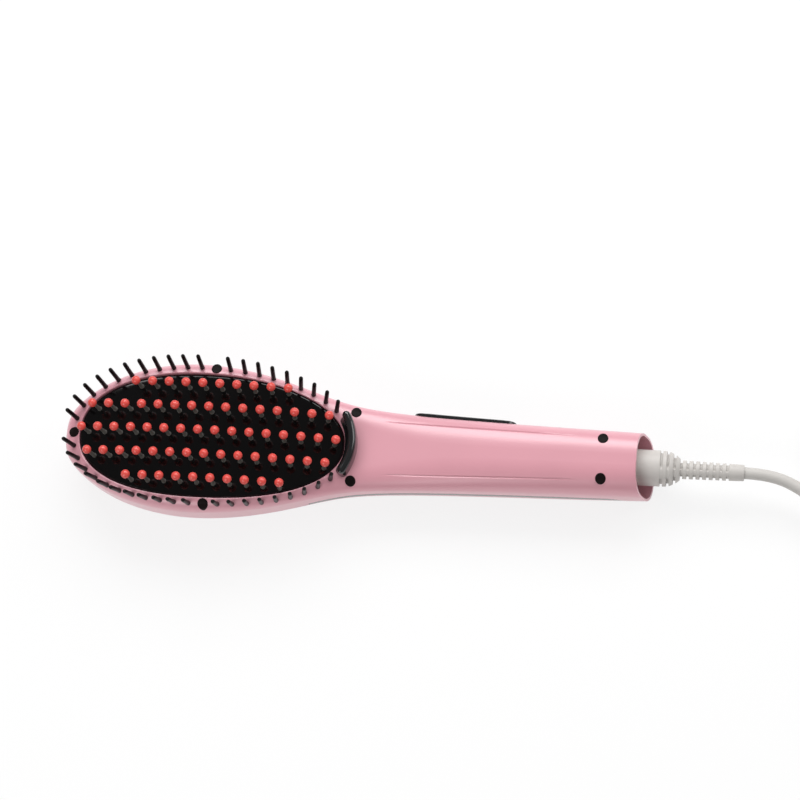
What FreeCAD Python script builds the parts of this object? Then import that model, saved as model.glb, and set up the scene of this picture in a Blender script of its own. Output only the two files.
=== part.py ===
import FreeCAD, Part
import math
import os

# Heated straightening brush: an arched head with a heated pin plate, a handle
# with a display on its back and buttons on its side, and a swivelling cord.
# Millimetres. +X runs along the brush towards the cord, +Y is the button side,
# +Z is the bristle side. The brush lies on its back, with its lens at z = 0.

V = FreeCAD.Vector
UP = V(0, 0, 1)
ALONG = V(1, 0, 0)
SIDE = V(0, 1, 0)

# Shared clearances and the overrun of every cut
overrun = 30.0
seat_gap = 0.1
free_gap = 0.3

# Casing: driving sizes, and a table of stations from the tip to the cord end
casing_length = 275.0
head_half_width = 36.0
parting_height = 15.5
front_rise = 14.5
back_drop = 15.5
casing_wall = 2.2
rim_fullness_share = 0.8
dome_fullness_share = 0.72
bands_on_head = 2
corner_facets = 6
cavity_facets = 2
head_spans = 9
halvings = 40
# station, half width, front rise, back drop, then front and back corner shares
station_shares = (
    (0.0051, 0.256, 0.345, 0.226, 0.62, 0.70, 0.80, 0.80),
    (0.0236, 0.450, 0.538, 0.445, 0.42, 0.66, 0.80, 0.85),
    (0.0545, 0.633, 0.697, 0.652, 0.31, 0.60, 0.80, 0.90),
    (0.1018, 0.822, 0.828, 0.845, 0.24, 0.55, 0.80, 0.92),
    (0.1673, 0.958, 0.952, 0.968, 0.205, 0.50, 0.80, 0.92),
    (0.2400, 1.000, 1.000, 1.000, 0.20, 0.50, 0.78, 0.92),
    (0.3200, 0.939, 0.945, 0.990, 0.21, 0.50, 0.68, 0.90),
    (0.4000, 0.792, 0.793, 0.976, 0.26, 0.55, 0.54, 0.86),
    (0.4800, 0.614, 0.640, 0.968, 0.40, 0.66, 0.43, 0.80),
    (0.5564, 0.531, 0.610, 0.968, 0.60, 0.76, 0.37, 0.76),
    (0.6327, 0.496, 0.672, 0.968, 0.76, 0.83, 0.35, 0.75),
    (0.7127, 0.474, 0.755, 0.968, 0.81, 0.86, 0.35, 0.75),
    (0.7927, 0.457, 0.810, 0.968, 0.82, 0.87, 0.37, 0.76),
    (0.8727, 0.444, 0.845, 0.965, 0.82, 0.87, 0.42, 0.78),
    (0.9455, 0.433, 0.862, 0.955, 0.82, 0.87, 0.55, 0.82),
    (1.0000, 0.425, 0.870, 0.930, 0.82, 0.87, 0.70, 0.86),
)

# End mouth, bulkhead and swivel
mouth_slope_drop = 3.5
mouth_radius = 12.2
mouth_depth = 8.0
handle_axis_height = 14.6
bulkhead_thickness = 4.0

# Seam band between the shells, along the handle and round the cover's end
seam_height = 2.4
seam_drop = 2.0
seam_start_share = 0.429
seam_start = seam_start_share * casing_length
seam_bend_radius = 13.0
seam_end_margin = 6.0

# Heated plate: an egg-shaped, arched oval
plate_start_share = 0.0291
plate_start = plate_start_share * casing_length
plate_length_share = 0.4567
plate_length = plate_length_share * casing_length
plate_half_width_share = 0.8222
plate_half_width = plate_half_width_share * head_half_width
plate_skew_share = 0.06
plate_thickness = 2.4
plate_step = 0.6
arch_radius = 340.0
outline_points = 36
outline_exponent_share = 2.2

# Heated pins in five staggered rows, each with a ball tip
row_pitch_share = 0.3851
row_pitch = row_pitch_share * plate_half_width
pin_pitch_share = 0.0621
pin_pitch = pin_pitch_share * plate_length
row_counts = (10, 15, 16, 15, 10)
pin_sides = 6
pin_foot_radius = 1.45
pin_neck_radius = 0.8
pin_length = 8.9
tip_sides = 6
tip_radius = 2.15
tip_profile_shares = ((0.0, 0.42), (0.42, 0.96), (1.15, 0.98), (1.85, 0.38))

# Outer bristles on a ring under the rim
rim_offset = 3.2
bristles_to_tip = 11
bristles_to_handle = 9
bristle_sides = 6
bristle_foot_radius = 1.15
bristle_root_radius = 0.85
bristle_end_radius = 0.5
bristle_reach = 13.2
bristle_collar = 1.1
bristle_lean = 4.0
ring_drop = 6.4
ring_thickness = 1.6

# Crescent guard at the handle end of the plate
guard_half_span = 13.8
guard_sagitta = 6.2
guard_thickness = 2.6
guard_height = 8.6
guard_plate_gap = 0.9

# Casing screws and their plugs
screw_head_radius = 1.9
screw_head_height = 1.4
screw_shank_radius = 1.0
screw_grip = 4.5
screw_sides = 8
plug_radius = 2.25
plug_depth = 2.0
plug_sides = 12
boss_radius = 2.8
boss_fit = 0.05
neck_screw_station_share = 0.5018
neck_screw_station = neck_screw_station_share * casing_length
neck_screw_offset_share = 0.461
neck_screw_offset = neck_screw_offset_share * head_half_width
handle_screw_station_share = 0.9236
handle_screw_station = handle_screw_station_share * casing_length
handle_screw_offset_share = 0.2667
handle_screw_offset = handle_screw_offset_share * head_half_width

# Plate carrier, heater, clamp and sensors under the plate
carrier_width = 4.6
carrier_inset = 0.8
carrier_depth = 7.5
carrier_post_radius = 2.6
carrier_post_station_share = 0.3185
carrier_post_station = carrier_post_station_share * plate_length
carrier_post_offset_share = 0.696
carrier_post_offset = carrier_post_offset_share * plate_half_width
heater_length_share = 0.7166
heater_length = heater_length_share * plate_length
heater_width = 15.0
heater_thickness = 4.0
clamp_length_share = 0.844
clamp_length = clamp_length_share * plate_length
clamp_width = 17.0
clamp_thickness = 1.2
clamp_boss_radius = 3.0
clamp_screw_station_share = 0.3941
clamp_screw_station = clamp_screw_station_share * plate_length
sensor_radius = 1.6
sensor_length = 8.0
fuse_radius = 1.9
fuse_length = 12.0
sensor_offset = 14.0

# Display lens and module, main board
lens_start_share = 0.4647
lens_start = lens_start_share * casing_length
lens_length_share = 0.4469
lens_length = lens_length_share * casing_length
lens_head_radius = 12.4
lens_tail_radius = 10.4
lens_thickness = 1.6
lcd_station_share = 0.5473
lcd_station = lcd_station_share * casing_length
lcd_length = 19.4
lcd_width = 13.1
lcd_recess = 0.3
lcd_thickness = 3.0
lcd_rim = 1.0
lcd_case_height = 3.2
board_end_gap = 3.0
board_width = 21.0
board_thickness = 1.6
board_start_share = 0.4873
board_start = board_start_share * casing_length
post_radius = 2.3
post_margin = 3.2

# Button strip on the side of the handle
strip_station_share = 0.6862
strip_station = strip_station_share * casing_length
strip_length = 48.0
strip_height = 9.0
strip_proud = 1.0
stadium_facets = 8
strip_end_margin = 4.0
button_space = 3.5
button_length = (strip_length - 2 * strip_end_margin - 2 * button_space) / 3
button_height = 5.0
button_pitch = button_length + button_space
button_proud = 0.7
button_gap = 0.3
button_travel = 0.6
flange_margin = 1.1
flange_thickness = 1.0
stem_radius = 1.9
switch_size = 6.0
switch_height = 3.4
plunger_radius = 1.6
plunger_reach = 1.0
plunger_fit = 0.05
side_board_depth = 8.6
side_board_length = strip_length - 2 * casing_wall
side_board_top = 5.4

# Swivel: bush in the bulkhead, hollow spindle with two rings, spring blades
bush_radius = 9.0
bush_flange_radius = 11.4
bush_flange = 1.4
spindle_radius = 6.0
spindle_bore = 3.4
spindle_fit = 0.05
spindle_collar_radius = 8.2
spindle_collar = 1.6
spindle_tail = 28.0
slip_ring_radius = 7.2
slip_ring_length = 4.0
slip_ring_spacing = 8.0
blade_width = 3.0
blade_thickness = 0.5
blade_gap = 0.3
block_height = 3.0
block_width = 18.0
block_length = 14.0

# Cord boot: collar, three rings and a ribbed taper
boot_collar_radius = 8.5
boot_collar_length = 10.0
boot_ring_radius = 8.9
boot_ring_width = 2.0
boot_ring_pitch = 3.5
boot_ring_count = 3
boot_ring_groove = 1.4
boot_cone_length = 4.6
boot_core_radius = 3.9
boot_rib_radius = 4.6
boot_rib_count = 7
boot_rib_pitch = 3.1
boot_rib_width = 1.7
boot_sleeve_length = 4.0
boot_socket_depth = 6.0
boot_sides = 16

# Cord, coil and two-pin plug
cord_radius = 2.8
cord_sides = 6
coil_outer_radius = 44.0
coil_pitch = 6.2
coil_half_turns = 6
plug_length = 36.0
plug_half_width = 17.6
plug_half_height = 6.9
plug_tail_half_width = 6.4
plug_tail_half_height = 4.8
plug_pin_radius = 2.0
plug_pin_length = 19.0
plug_pin_spacing = 18.6
plug_corner_share = 0.6
plug_shoulder_share = 0.45
route_trim_share = 0.45
# Steps of the cord from the boot and from the coil: ahead, aside, share of the fall or rise
lead_steps = ((13.0, 0.0, 0.0), (29.0, -7.0, 0.25), (44.0, -19.5, 0.71), (57.0, -27.0, 1.0), (72.0, -27.0, 1.0))
tail_steps = ((12.8, 0.0, 0.0), (26.8, 4.6, 0.27), (42.8, 14.2, 1.0), (59.8, 14.2, 1.0))

# Places worked out from the sizes above
tip_x = -casing_length / 2
end_x = casing_length / 2
plate_half_length = plate_length / 2
plate_x = tip_x + plate_start + plate_half_length
front_crown = parting_height + front_rise
seam_level = parting_height - seam_drop
plate_crown = front_crown - plate_step
arch_height = plate_crown - arch_radius
axis_point = V(end_x, 0, handle_axis_height)

os.makedirs("parts", exist_ok=True)
shapes = {}


def keep(name, shape):
    """Store a finished piece and write its file."""
    shapes[name] = shape
    shape.exportStep("parts/%s.step" % name)


def group(solids):
    return Part.makeCompound(list(solids))


def block(low, high):
    return Part.makeBox(high.x - low.x, high.y - low.y, high.z - low.z, low)


def wide_block(x0, x1, z0, z1):
    """A block across the whole width of the brush."""
    reach = head_half_width + overrun
    return block(V(x0, -reach, z0), V(x1, reach, z1))


def rod(radius, start, end):
    axis = end - start
    return Part.makeCylinder(radius, axis.Length, start, axis)


def aimed(shape, base, direction):
    """Turn a shape built up +Z onto a direction and move it to its base."""
    shape.Placement = FreeCAD.Placement(base, FreeCAD.Rotation(UP, direction))
    return shape


def closed_solid(faces):
    solid = Part.makeSolid(Part.makeShell(faces))
    if solid.Volume < 0:
        solid.reverse()
    return solid


def polygon_face(points):
    return Part.Face(Part.makePolygon(points + points[:1]))


def faceted_rod(sides, profile):
    """Flat-sided rod up +Z through regular polygons; profile holds (height, radius)."""
    rings = []
    for height, radius in profile:
        angles = [2 * math.pi * k / sides for k in range(sides)]
        rings.append([V(radius * math.cos(a), radius * math.sin(a), height) for a in angles])
    faces = [polygon_face(rings[0]), polygon_face(rings[-1])]
    for low, high in zip(rings, rings[1:]):
        for k in range(sides):
            n = (k + 1) % sides
            faces.append(polygon_face([low[k], low[n], high[n], high[k]]))
    return closed_solid(faces)


def triangle_skin(rings):
    """Solid through rings of equally many points, with flat triangles between them."""
    faces = [polygon_face(rings[0]), polygon_face(rings[-1])]
    count = len(rings[0])
    for low, high in zip(rings, rings[1:]):
        for k in range(count):
            n = (k + 1) % count
            faces += [polygon_face([low[k], low[n], high[n]]), polygon_face([low[k], high[n], high[k]])]
    return closed_solid(faces)


def prism(wire, z0, z1):
    face = Part.Face(wire)
    face.translate(V(0, 0, z0 - wire.BoundBox.ZMin))
    return face.extrude(V(0, 0, z1 - z0))


# Casing body: flat triangles between sections with four elliptic corners
def corner(start, outer, end, fullness, facets):
    """Points along an elliptic corner, its end left out."""
    curve = Part.BezierCurve()
    curve.setPoles([start, outer, end])
    curve.setWeight(2, fullness)
    return [curve.value(k / facets) for k in range(facets)]


def casing_section(values, inset, facets):
    station, half, rise, drop, front_w, front_h, back_w, back_h = values
    x = tip_x + station * casing_length + inset * (1 - station)
    half = half * head_half_width - inset
    top = parting_height + rise * front_rise - inset
    low = parting_height - drop * back_drop + inset
    shoulder = top - front_h * (top - parting_height)
    hip = low + back_h * (parting_height - low)
    front_half = half * (1 - front_w)
    back_half = half * (1 - back_w)
    right = V(x, half, hip)
    left = V(x, -half, shoulder)
    points = [right]
    points += corner(V(x, half, shoulder), V(x, half, top), V(x, front_half, top), rim_fullness_share, facets)
    points += [V(x, front_half, top)]
    points += corner(V(x, -front_half, top), V(x, -half, top), left, rim_fullness_share, facets)
    points += [left]
    points += corner(V(x, -half, hip), V(x, -half, low), V(x, -back_half, low), dome_fullness_share, facets)
    points += [V(x, -back_half, low)]
    points += corner(V(x, back_half, low), V(x, half, low), right, dome_fullness_share, facets)
    return points


def station_curves():
    """Smooth curves through the table: the station with two columns in each."""
    pole = (0.0, 0.0, 0.0, 0.0) + station_shares[0][4:]
    rows = [pole] + list(station_shares)
    params = [float(k) for k in range(len(rows))]
    curves = []
    for first, second in ((1, 2), (3, 4), (5, 6), (7, 7)):
        points = [V(row[0], row[first], row[second]) for row in rows]
        curve = Part.BSplineCurve()
        curve.interpolate(Points=points, Parameters=params)
        curves.append(curve)
    return curves, len(rows) - 1


def casing_values(param):
    a, b, c, d = (curve.value(param) for curve in casing_curves)
    return (a.x, a.y, a.z, b.y, b.z, c.y, c.z, d.y)


def casing_param(x):
    """Parameter of the section at a place along the brush, by halving."""
    low, high = 0.0, float(casing_spans)
    share = (x - tip_x) / casing_length
    for _ in range(halvings):
        middle = (low + high) / 2
        if casing_values(middle)[0] < share:
            low = middle
        else:
            high = middle
    return low


def casing_body(inset, params, facets):
    """The closed outside of the brush, drawn in by an inset."""
    return triangle_skin([casing_section(casing_values(param), inset, facets) for param in params])


def front_height(x, y):
    """Height of the casing's front above a place."""
    values = casing_values(casing_param(x))
    half = values[1] * head_half_width
    rise = values[2] * front_rise
    flat = half * (1 - values[4])
    run = half - flat
    if abs(y) <= flat:
        return parting_height + rise
    low, high = 0.0, 1.0
    for _ in range(halvings):
        t = (low + high) / 2
        weights = ((1 - t) ** 2, 2 * t * (1 - t) * rim_fullness_share, t ** 2)
        if (weights[1] + weights[2]) / sum(weights) * run < abs(y) - flat:
            low = t
        else:
            high = t
    fall = weights[2] / sum(weights) * values[5] * rise
    return parting_height + rise - fall


def side_reach(x):
    """Half width of the casing at the parting height."""
    return casing_values(casing_param(x))[1] * head_half_width


casing_curves, casing_spans = station_curves()
tip_params = [1 / bands_on_head ** 2]
fine_params = [k / bands_on_head for k in range(1, head_spans * bands_on_head + 1)]
handle_params = [float(k) for k in range(head_spans + 1, casing_spans + 1)]
casing = casing_body(0, tip_params + fine_params + handle_params, corner_facets)
bulkhead_x = end_x - mouth_depth - bulkhead_thickness
spindle_x0 = bulkhead_x - spindle_tail
core_params = [float(k) for k in range(1, casing_spans + 1)]
cavity_params = core_params[:-2] + [casing_param(bulkhead_x)]
core = casing_body(casing_wall, core_params, cavity_facets)
cavity = casing_body(casing_wall, cavity_params, cavity_facets)
hollow = casing.cut(cavity)


# Seam path seen from the side: along the parting, then round down to the back
seam_x0 = tip_x + seam_start
seam_x2 = end_x - seam_end_margin
seam_x1 = seam_x2 - seam_bend_radius


def seam_bend(offset, start_x):
    """Edges of the seam path moved outwards, from a start to below the back."""
    radius = seam_bend_radius + offset
    centre = V(seam_x1, 0, seam_level - seam_bend_radius)
    flat = V(seam_x1, 0, seam_level + offset)
    half = math.sqrt(0.5) * radius
    bend = centre + V(half, 0, half)
    down = V(seam_x2 + offset, 0, centre.z)
    foot = V(seam_x2 + offset, 0, -overrun)
    start = V(start_x, 0, seam_level + offset)
    edges = [Part.makeLine(start, flat), Part.Arc(flat, bend, down).toShape()]
    edges.append(Part.makeLine(down, foot))
    return start, edges, foot


def across(edges):
    """Extrude a closed side-view outline over the width of the brush."""
    reach = head_half_width + overrun
    face = Part.Face(Part.Wire(edges))
    face.translate(V(0, -reach, 0))
    return face.extrude(V(0, 2 * reach, 0))


def region_below_seam():
    start, edges, foot = seam_bend(0, tip_x - overrun)
    corner_point = V(start.x, 0, foot.z)
    closing = [Part.makeLine(foot, corner_point), Part.makeLine(corner_point, start)]
    return across(edges + closing)


def seam_region():
    half = seam_height / 2
    start, outer, foot = seam_bend(half, seam_x0)
    inner_start, inner, inner_foot = seam_bend(-half, seam_x0)
    closing = [Part.makeLine(foot, inner_foot), Part.makeLine(inner_start, start)]
    return across(outer + closing + inner)


below_seam = region_below_seam()
seam = casing.common(seam_region()).cut(core)


# Egg-shaped outlines of the plate and what surrounds it
def egg_points(grow):
    points = []
    power = 2 / outline_exponent_share
    for k in range(outline_points):
        angle = 2 * math.pi * k / outline_points
        c, s = math.cos(angle), math.sin(angle)
        x = (plate_half_length + grow) * math.copysign(abs(c) ** power, c)
        y = (plate_half_width + grow) * math.copysign(abs(s) ** power, s)
        points.append(V(plate_x + x, y * (1 - plate_skew_share * c), 0))
    return points


def egg_curve(grow):
    curve = Part.BSplineCurve()
    curve.interpolate(Points=egg_points(grow), PeriodicFlag=True)
    return curve.toShape()


def egg_block(grow, z0, z1):
    """A block with the egg outline."""
    points = egg_points(grow)
    return prism(Part.makePolygon(points + points[:1]), z0, z1)


def arch_drum(drop):
    """Solid drum whose top is the plate's arch, lowered by a drop."""
    reach = head_half_width + overrun
    centre = V(plate_x, -reach, arch_height)
    return Part.makeCylinder(arch_radius - drop, 2 * reach, centre, SIDE)


def arched(shape, top_drop, low_drop):
    """Keep what lies between two drops below the plate's arch."""
    return shape.common(arch_drum(top_drop)).cut(arch_drum(low_drop))


def arch_frame(x, drop):
    """Point on the arch above x, and the outward direction there."""
    angle = math.asin((x - plate_x) / arch_radius)
    direction = V(math.sin(angle), 0, math.cos(angle))
    radius = arch_radius - drop
    return V(plate_x + radius * direction.x, 0, arch_height + radius * direction.z), direction


# Casing screws: tip, both sides of the head, both sides of the neck and handle
rim_side_offset = plate_half_width + rim_offset
screw_places = [
    (plate_x - plate_half_length - rim_offset, 0),
    (plate_x, rim_side_offset), (plate_x, -rim_side_offset),
    (tip_x + neck_screw_station, neck_screw_offset),
    (tip_x + neck_screw_station, -neck_screw_offset),
    (tip_x + handle_screw_station, handle_screw_offset),
    (tip_x + handle_screw_station, -handle_screw_offset),
]
screw_tops = [front_height(x, y) for x, y in screw_places]
screw_drop = plug_depth + screw_head_height + seat_gap
screw_foot = seam_level - screw_grip


def column(radius, place, z0, z1):
    return rod(radius, V(place[0], place[1], z0), V(place[0], place[1], z1))


front_bosses = []
back_bosses = []
front_bores = []
back_bores = []
for place, top in zip(screw_places, screw_tops):
    seat = top - screw_drop
    front_bosses.append(column(boss_radius, place, seam_level, top + overrun))
    back_bosses.append(column(boss_radius, place, -overrun, seam_level))
    front_bores.append(column(plug_radius + boss_fit, place, seat, top + overrun))
    front_bores.append(column(screw_shank_radius + boss_fit, place, seam_level - overrun, seat))
    back_bores.append(column(screw_shank_radius + boss_fit, place, screw_foot, seam_level))


# Outer bristles: places along the rim, each with a leaning axis
def rim_places():
    """Points on the rim curve on the +Y side, from the tip to the handle."""
    edge = egg_curve(rim_offset)
    steps = outline_points * outline_points
    points = []
    for k in range(steps + 1):
        share = k / steps
        param = edge.FirstParameter + share * (edge.LastParameter - edge.FirstParameter) / 2
        points.append(edge.valueAt(param))
    lengths = [0.0]
    for a, b in zip(points, points[1:]):
        lengths.append(lengths[-1] + (b - a).Length)
    middle = min(range(len(points)), key=lambda k: abs(points[k].x - plate_x))
    pitch = (lengths[-1] - lengths[middle]) / (bristles_to_tip + 1)
    places = []
    for k in range(-bristles_to_handle, bristles_to_tip + 1):
        if k == 0:
            continue
        target = lengths[middle] + k * pitch
        nearest = min(range(len(points)), key=lambda n: abs(lengths[n] - target))
        places.append(points[nearest])
    return places


def bristle_axis(x, y):
    """Foot point on the ring and direction of a bristle that leaves the rim here."""
    across_share = y / rim_side_offset
    lean = math.tan(math.radians(bristle_lean)) * across_share
    direction = arch_frame(x, 0)[1] + V(0, lean, 0)
    direction.normalize()
    top = V(x, y, front_height(x, y))
    return top, direction


bristle_axes = []
for point in rim_places():
    for sign in (1, -1):
        bristle_axes.append(bristle_axis(point.x, sign * point.y))

bristle_holes = []
bristles = []
ring_arch = arch_radius - ring_drop
for top, direction in bristle_axes:
    radial = V(top.x - plate_x, 0, top.z - arch_height)
    sink = (radial.Length - ring_arch) * radial.Length / radial.dot(direction) - seat_gap
    foot = top - direction * sink
    hole = ((0, bristle_foot_radius + boss_fit), (2 * sink, bristle_foot_radius + boss_fit))
    bristle_holes.append(aimed(faceted_rod(bristle_sides, hole), foot, direction))
    profile = (
        (0, bristle_foot_radius),
        (sink + bristle_collar, bristle_foot_radius),
        (sink + 2 * bristle_collar, bristle_root_radius),
        (sink + bristle_reach, bristle_end_radius),
    )
    bristles.append(aimed(faceted_rod(bristle_sides, profile), foot, direction))


# Lens outline: a long oval between two round ends
def lens_wire(grow):
    head = tip_x + lens_start + lens_head_radius
    tail = tip_x + lens_start + lens_length - lens_tail_radius
    big = lens_head_radius + grow
    small = lens_tail_radius + grow
    lean = math.asin((big - small) / (tail - head))
    s, c = math.sin(lean), math.cos(lean)
    a, b = V(head + big * s, big * c, 0), V(tail + small * s, small * c, 0)
    mirror_a, mirror_b = V(a.x, -a.y, 0), V(b.x, -b.y, 0)
    far_tail = V(tail + small, 0, 0)
    far_head = V(head - big, 0, 0)
    return Part.Wire([
        Part.makeLine(a, b), Part.Arc(b, far_tail, mirror_b).toShape(),
        Part.makeLine(mirror_b, mirror_a), Part.Arc(mirror_a, far_head, a).toShape(),
    ])


lcd_x = tip_x + lcd_station
back_floor = parting_height - back_drop * station_shares[10][3] + casing_wall


def lcd_block(grow, z0, z1):
    half_l = lcd_length / 2 + grow
    half_w = lcd_width / 2 + grow
    return block(V(lcd_x - half_l, -half_w, z0), V(lcd_x + half_l, half_w, z1))


# Button strip: stadium windows on the side
strip_x = tip_x + strip_station


def stadium(x, length, height, y0, y1):
    """A stadium in the side view, extruded along Y."""
    radius = height / 2
    half = length / 2 - radius
    points = []
    for sign in (1, -1):
        for k in range(stadium_facets + 1):
            angle = sign * math.pi / 2 - math.pi * k / stadium_facets
            place = V(x + sign * half, y0, parting_height)
            points.append(place + V(radius * math.cos(angle), 0, radius * math.sin(angle)))
    return polygon_face(points).extrude(V(0, y1 - y0, 0))


strip_inner = side_reach(strip_x + strip_length / 2) - 2 * casing_wall
strip_outer = head_half_width
strip_window = stadium(strip_x, strip_length, strip_height, strip_inner, strip_outer)

# Board posts and carrier posts of the back shell
board_x0 = tip_x + board_start
board_x1 = spindle_x0 - board_end_gap
board_low = lcd_recess + lcd_thickness + lcd_case_height
post_places = []
for x in (board_x0 + post_margin, board_x1 - post_margin):
    for y in (board_width / 2 - post_margin, post_margin - board_width / 2):
        post_places.append((x, y))
carrier_places = []
for x in (plate_x - carrier_post_station, plate_x + carrier_post_station):
    for y in (carrier_post_offset, -carrier_post_offset):
        carrier_places.append((x, y))
carrier_drop = plate_thickness + carrier_depth


# Cord end: the mouth and the seat of the swivel bush, through both shells
mouth = rod(mouth_radius, axis_point - ALONG * mouth_depth, axis_point + ALONG * overrun)
bush_hole = rod(bush_radius + boss_fit, axis_point - ALONG * overrun, axis_point)
cord_end_cuts = [mouth, bush_hole]


def main_body(shape):
    """The largest solid of a cut shape, without slivers where surfaces meet."""
    return max(shape.Solids, key=lambda solid: solid.Volume)


# Front shell: bristle side, with the whole cord end
def front_shell():
    shell = hollow.fuse(group(front_bosses).common(casing).Solids).cut(below_seam)
    plate_hole = egg_block(free_gap, parting_height, front_crown + overrun)
    cuts = [plate_hole, strip_window, seam, mouth_slope()] + cord_end_cuts
    return main_body(shell.cut(cuts + front_bores + bristle_holes))


def mouth_slope():
    """Wedge that makes the front lip of the mouth shorter than the back lip."""
    top = front_crown + overrun
    rise = top - parting_height
    run = mouth_slope_drop * rise / front_rise
    a = V(end_x, 0, parting_height)
    b = V(end_x - run, 0, top)
    c = V(end_x + overrun, 0, top)
    d = V(end_x + overrun, 0, parting_height)
    lines = [Part.makeLine(p, q) for p, q in ((a, b), (b, c), (c, d), (d, a))]
    return across(lines)


keep("front_shell", front_shell())


# Back shell: dome, lens recess, display window, board and carrier posts
def back_shell():
    posts = [column(post_radius, place, 0, board_low) for place in post_places]
    stilts = [column(carrier_post_radius, place, 0, plate_crown) for place in carrier_places]
    stilts = group(stilts).common(arch_drum(carrier_drop)).common(casing)
    shell = hollow.fuse(group(back_bosses + posts).common(casing).Solids).common(below_seam)
    shell = shell.fuse(stilts.Solids)
    recess = prism(lens_wire(seat_gap), -overrun, lens_thickness)
    window = lcd_block(free_gap, -overrun, board_low)
    holes = [column(screw_shank_radius + boss_fit, p, back_floor, board_low) for p in post_places]
    return main_body(shell.cut([recess, window, strip_window, seam] + cord_end_cuts + back_bores + holes))


keep("back_shell", back_shell())

# Seam band: the dark line along the handle and round the end of the back shell
keep("seam_band", seam.cut([strip_window] + cord_end_cuts))

# Heating plate: arched oval with two bosses for the heater clamp
heater_drop = plate_thickness + heater_thickness
clamp_drop = heater_drop + clamp_thickness
clamp_frames = []
for x in (plate_x - clamp_screw_station, plate_x + clamp_screw_station):
    clamp_frames.append(arch_frame(x, clamp_drop))


def clamp_bores(radius):
    deep = clamp_thickness + heater_thickness
    return [rod(radius, foot, foot + direction * deep) for foot, direction in clamp_frames]


def heating_plate():
    plate = arched(egg_block(0, parting_height, front_crown), 0, plate_thickness)
    bosses = []
    for foot, direction in clamp_frames:
        bosses.append(rod(clamp_boss_radius, foot, foot + direction * clamp_drop))
    bosses = arched(group(bosses), plate_thickness, heater_drop)
    return plate.fuse(bosses.Solids).cut(clamp_bores(screw_shank_radius + boss_fit))


keep("heating_plate", heating_plate())


# Heated pins and their ball tips, square to the arch
def pin_frames():
    frames = []
    rows = len(row_counts)
    for row, count in enumerate(row_counts):
        y = (row - (rows - 1) / 2) * row_pitch
        for k in range(count):
            x = plate_x + (k - (count - 1) / 2) * pin_pitch
            foot, direction = arch_frame(x, 0)
            frames.append((foot + SIDE * y, direction))
    return frames


pin_profile = ((0, pin_foot_radius), (pin_length, pin_neck_radius))
tip_profile = [(height * tip_radius, radius * tip_radius) for height, radius in tip_profile_shares]
pins = []
tips = []
for foot, direction in pin_frames():
    pins.append(aimed(faceted_rod(pin_sides, pin_profile), foot, direction))
    tips.append(aimed(faceted_rod(tip_sides, tip_profile), foot + direction * pin_length, direction))
keep("heating_pins", group(pins))
keep("pin_tips", group(tips))


# Plate carrier: an oval frame between the plate and the posts of the back shell
def carrier():
    outer = egg_block(-carrier_inset, 0, front_crown)
    ring = outer.cut(egg_block(-carrier_inset - carrier_width, 0, front_crown))
    return arched(ring, plate_thickness, carrier_drop)


keep("plate_carrier", carrier())


# Heater bar, its spring clamp and the two clamp screws
def arched_bar(length, width, top_drop, low_drop):
    low = V(plate_x - length / 2, -width / 2, 0)
    high = V(plate_x + length / 2, width / 2, front_crown)
    return arched(block(low, high), top_drop, low_drop)


keep("ptc_heater", arched_bar(heater_length, heater_width, plate_thickness, heater_drop))
clamp = arched_bar(clamp_length, clamp_width, heater_drop, clamp_drop)
keep("heater_clamp", clamp.cut(clamp_bores(screw_shank_radius + boss_fit)))


def screw(seat, direction, shank_length):
    """A pan-head screw whose head lies on its seat; the shank runs along direction."""
    head = ((-screw_head_height, screw_head_radius), (0, screw_head_radius))
    shank = ((0, screw_shank_radius), (shank_length, screw_shank_radius))
    solid = faceted_rod(screw_sides, head).fuse(faceted_rod(screw_sides, shank))
    return aimed(solid.removeSplitter(), seat, direction)


clamp_screws = []
for foot, direction in clamp_frames:
    seat = foot - direction * seat_gap
    clamp_screws.append(screw(seat, direction, clamp_thickness + heater_thickness))
keep("clamp_screws", group(clamp_screws))


# Temperature sensor and thermal fuse, held against the plate beside the heater
def under_plate(radius, length, y):
    z = plate_crown - plate_thickness - seat_gap - radius
    return rod(radius, V(plate_x - length / 2, y, z), V(plate_x + length / 2, y, z))


keep("thermistor", under_plate(sensor_radius, sensor_length, sensor_offset))
keep("thermal_fuse", under_plate(fuse_radius, fuse_length, -sensor_offset))


# Bristle ring under the rim, and the bristles that stand on it
def bristle_ring():
    ring = egg_block(rim_offset + bristle_foot_radius, 0, front_crown)
    ring = ring.cut(egg_block(free_gap - carrier_inset, 0, front_crown))
    ring = arched(ring, ring_drop, ring_drop + ring_thickness).common(cavity)
    clear = boss_radius + seat_gap
    gaps = [column(clear, place, -overrun, front_crown + overrun) for place in screw_places[:5]]
    return ring.cut(gaps)


keep("bristle_ring", bristle_ring())
keep("rim_bristles", group(bristles))


# Crescent guard on the rim, round the handle end of the plate
def guard():
    span, bow = guard_half_span, guard_sagitta
    radius = (span ** 2 + bow ** 2) / (2 * bow)
    crest = plate_x + plate_half_length + free_gap + guard_plate_gap + guard_thickness / 2
    half = guard_thickness / 2
    reach = math.asin(span / radius)

    def at(distance, angle):
        return V(crest - radius + distance * math.cos(angle), distance * math.sin(angle), parting_height)

    def arc(distance, start, end):
        return Part.Arc(at(distance, start), at(distance, 0), at(distance, end)).toShape()

    def cap(angle, turn):
        middle = at(radius, angle) + V(-math.sin(angle), math.cos(angle), 0) * turn * half
        return Part.Arc(at(radius + half, angle), middle, at(radius - half, angle)).toShape()

    edges = [arc(radius + half, -reach, reach), cap(reach, 1), arc(radius - half, reach, -reach), cap(-reach, -1)]
    top = arch_frame(plate_x + plate_half_length, 0)[0].z + guard_height
    wall = Part.Face(Part.Wire(Part.sortEdges(edges)[0])).extrude(V(0, 0, top - parting_height))
    return wall.cut(casing)


keep("plate_guard", guard())

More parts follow.
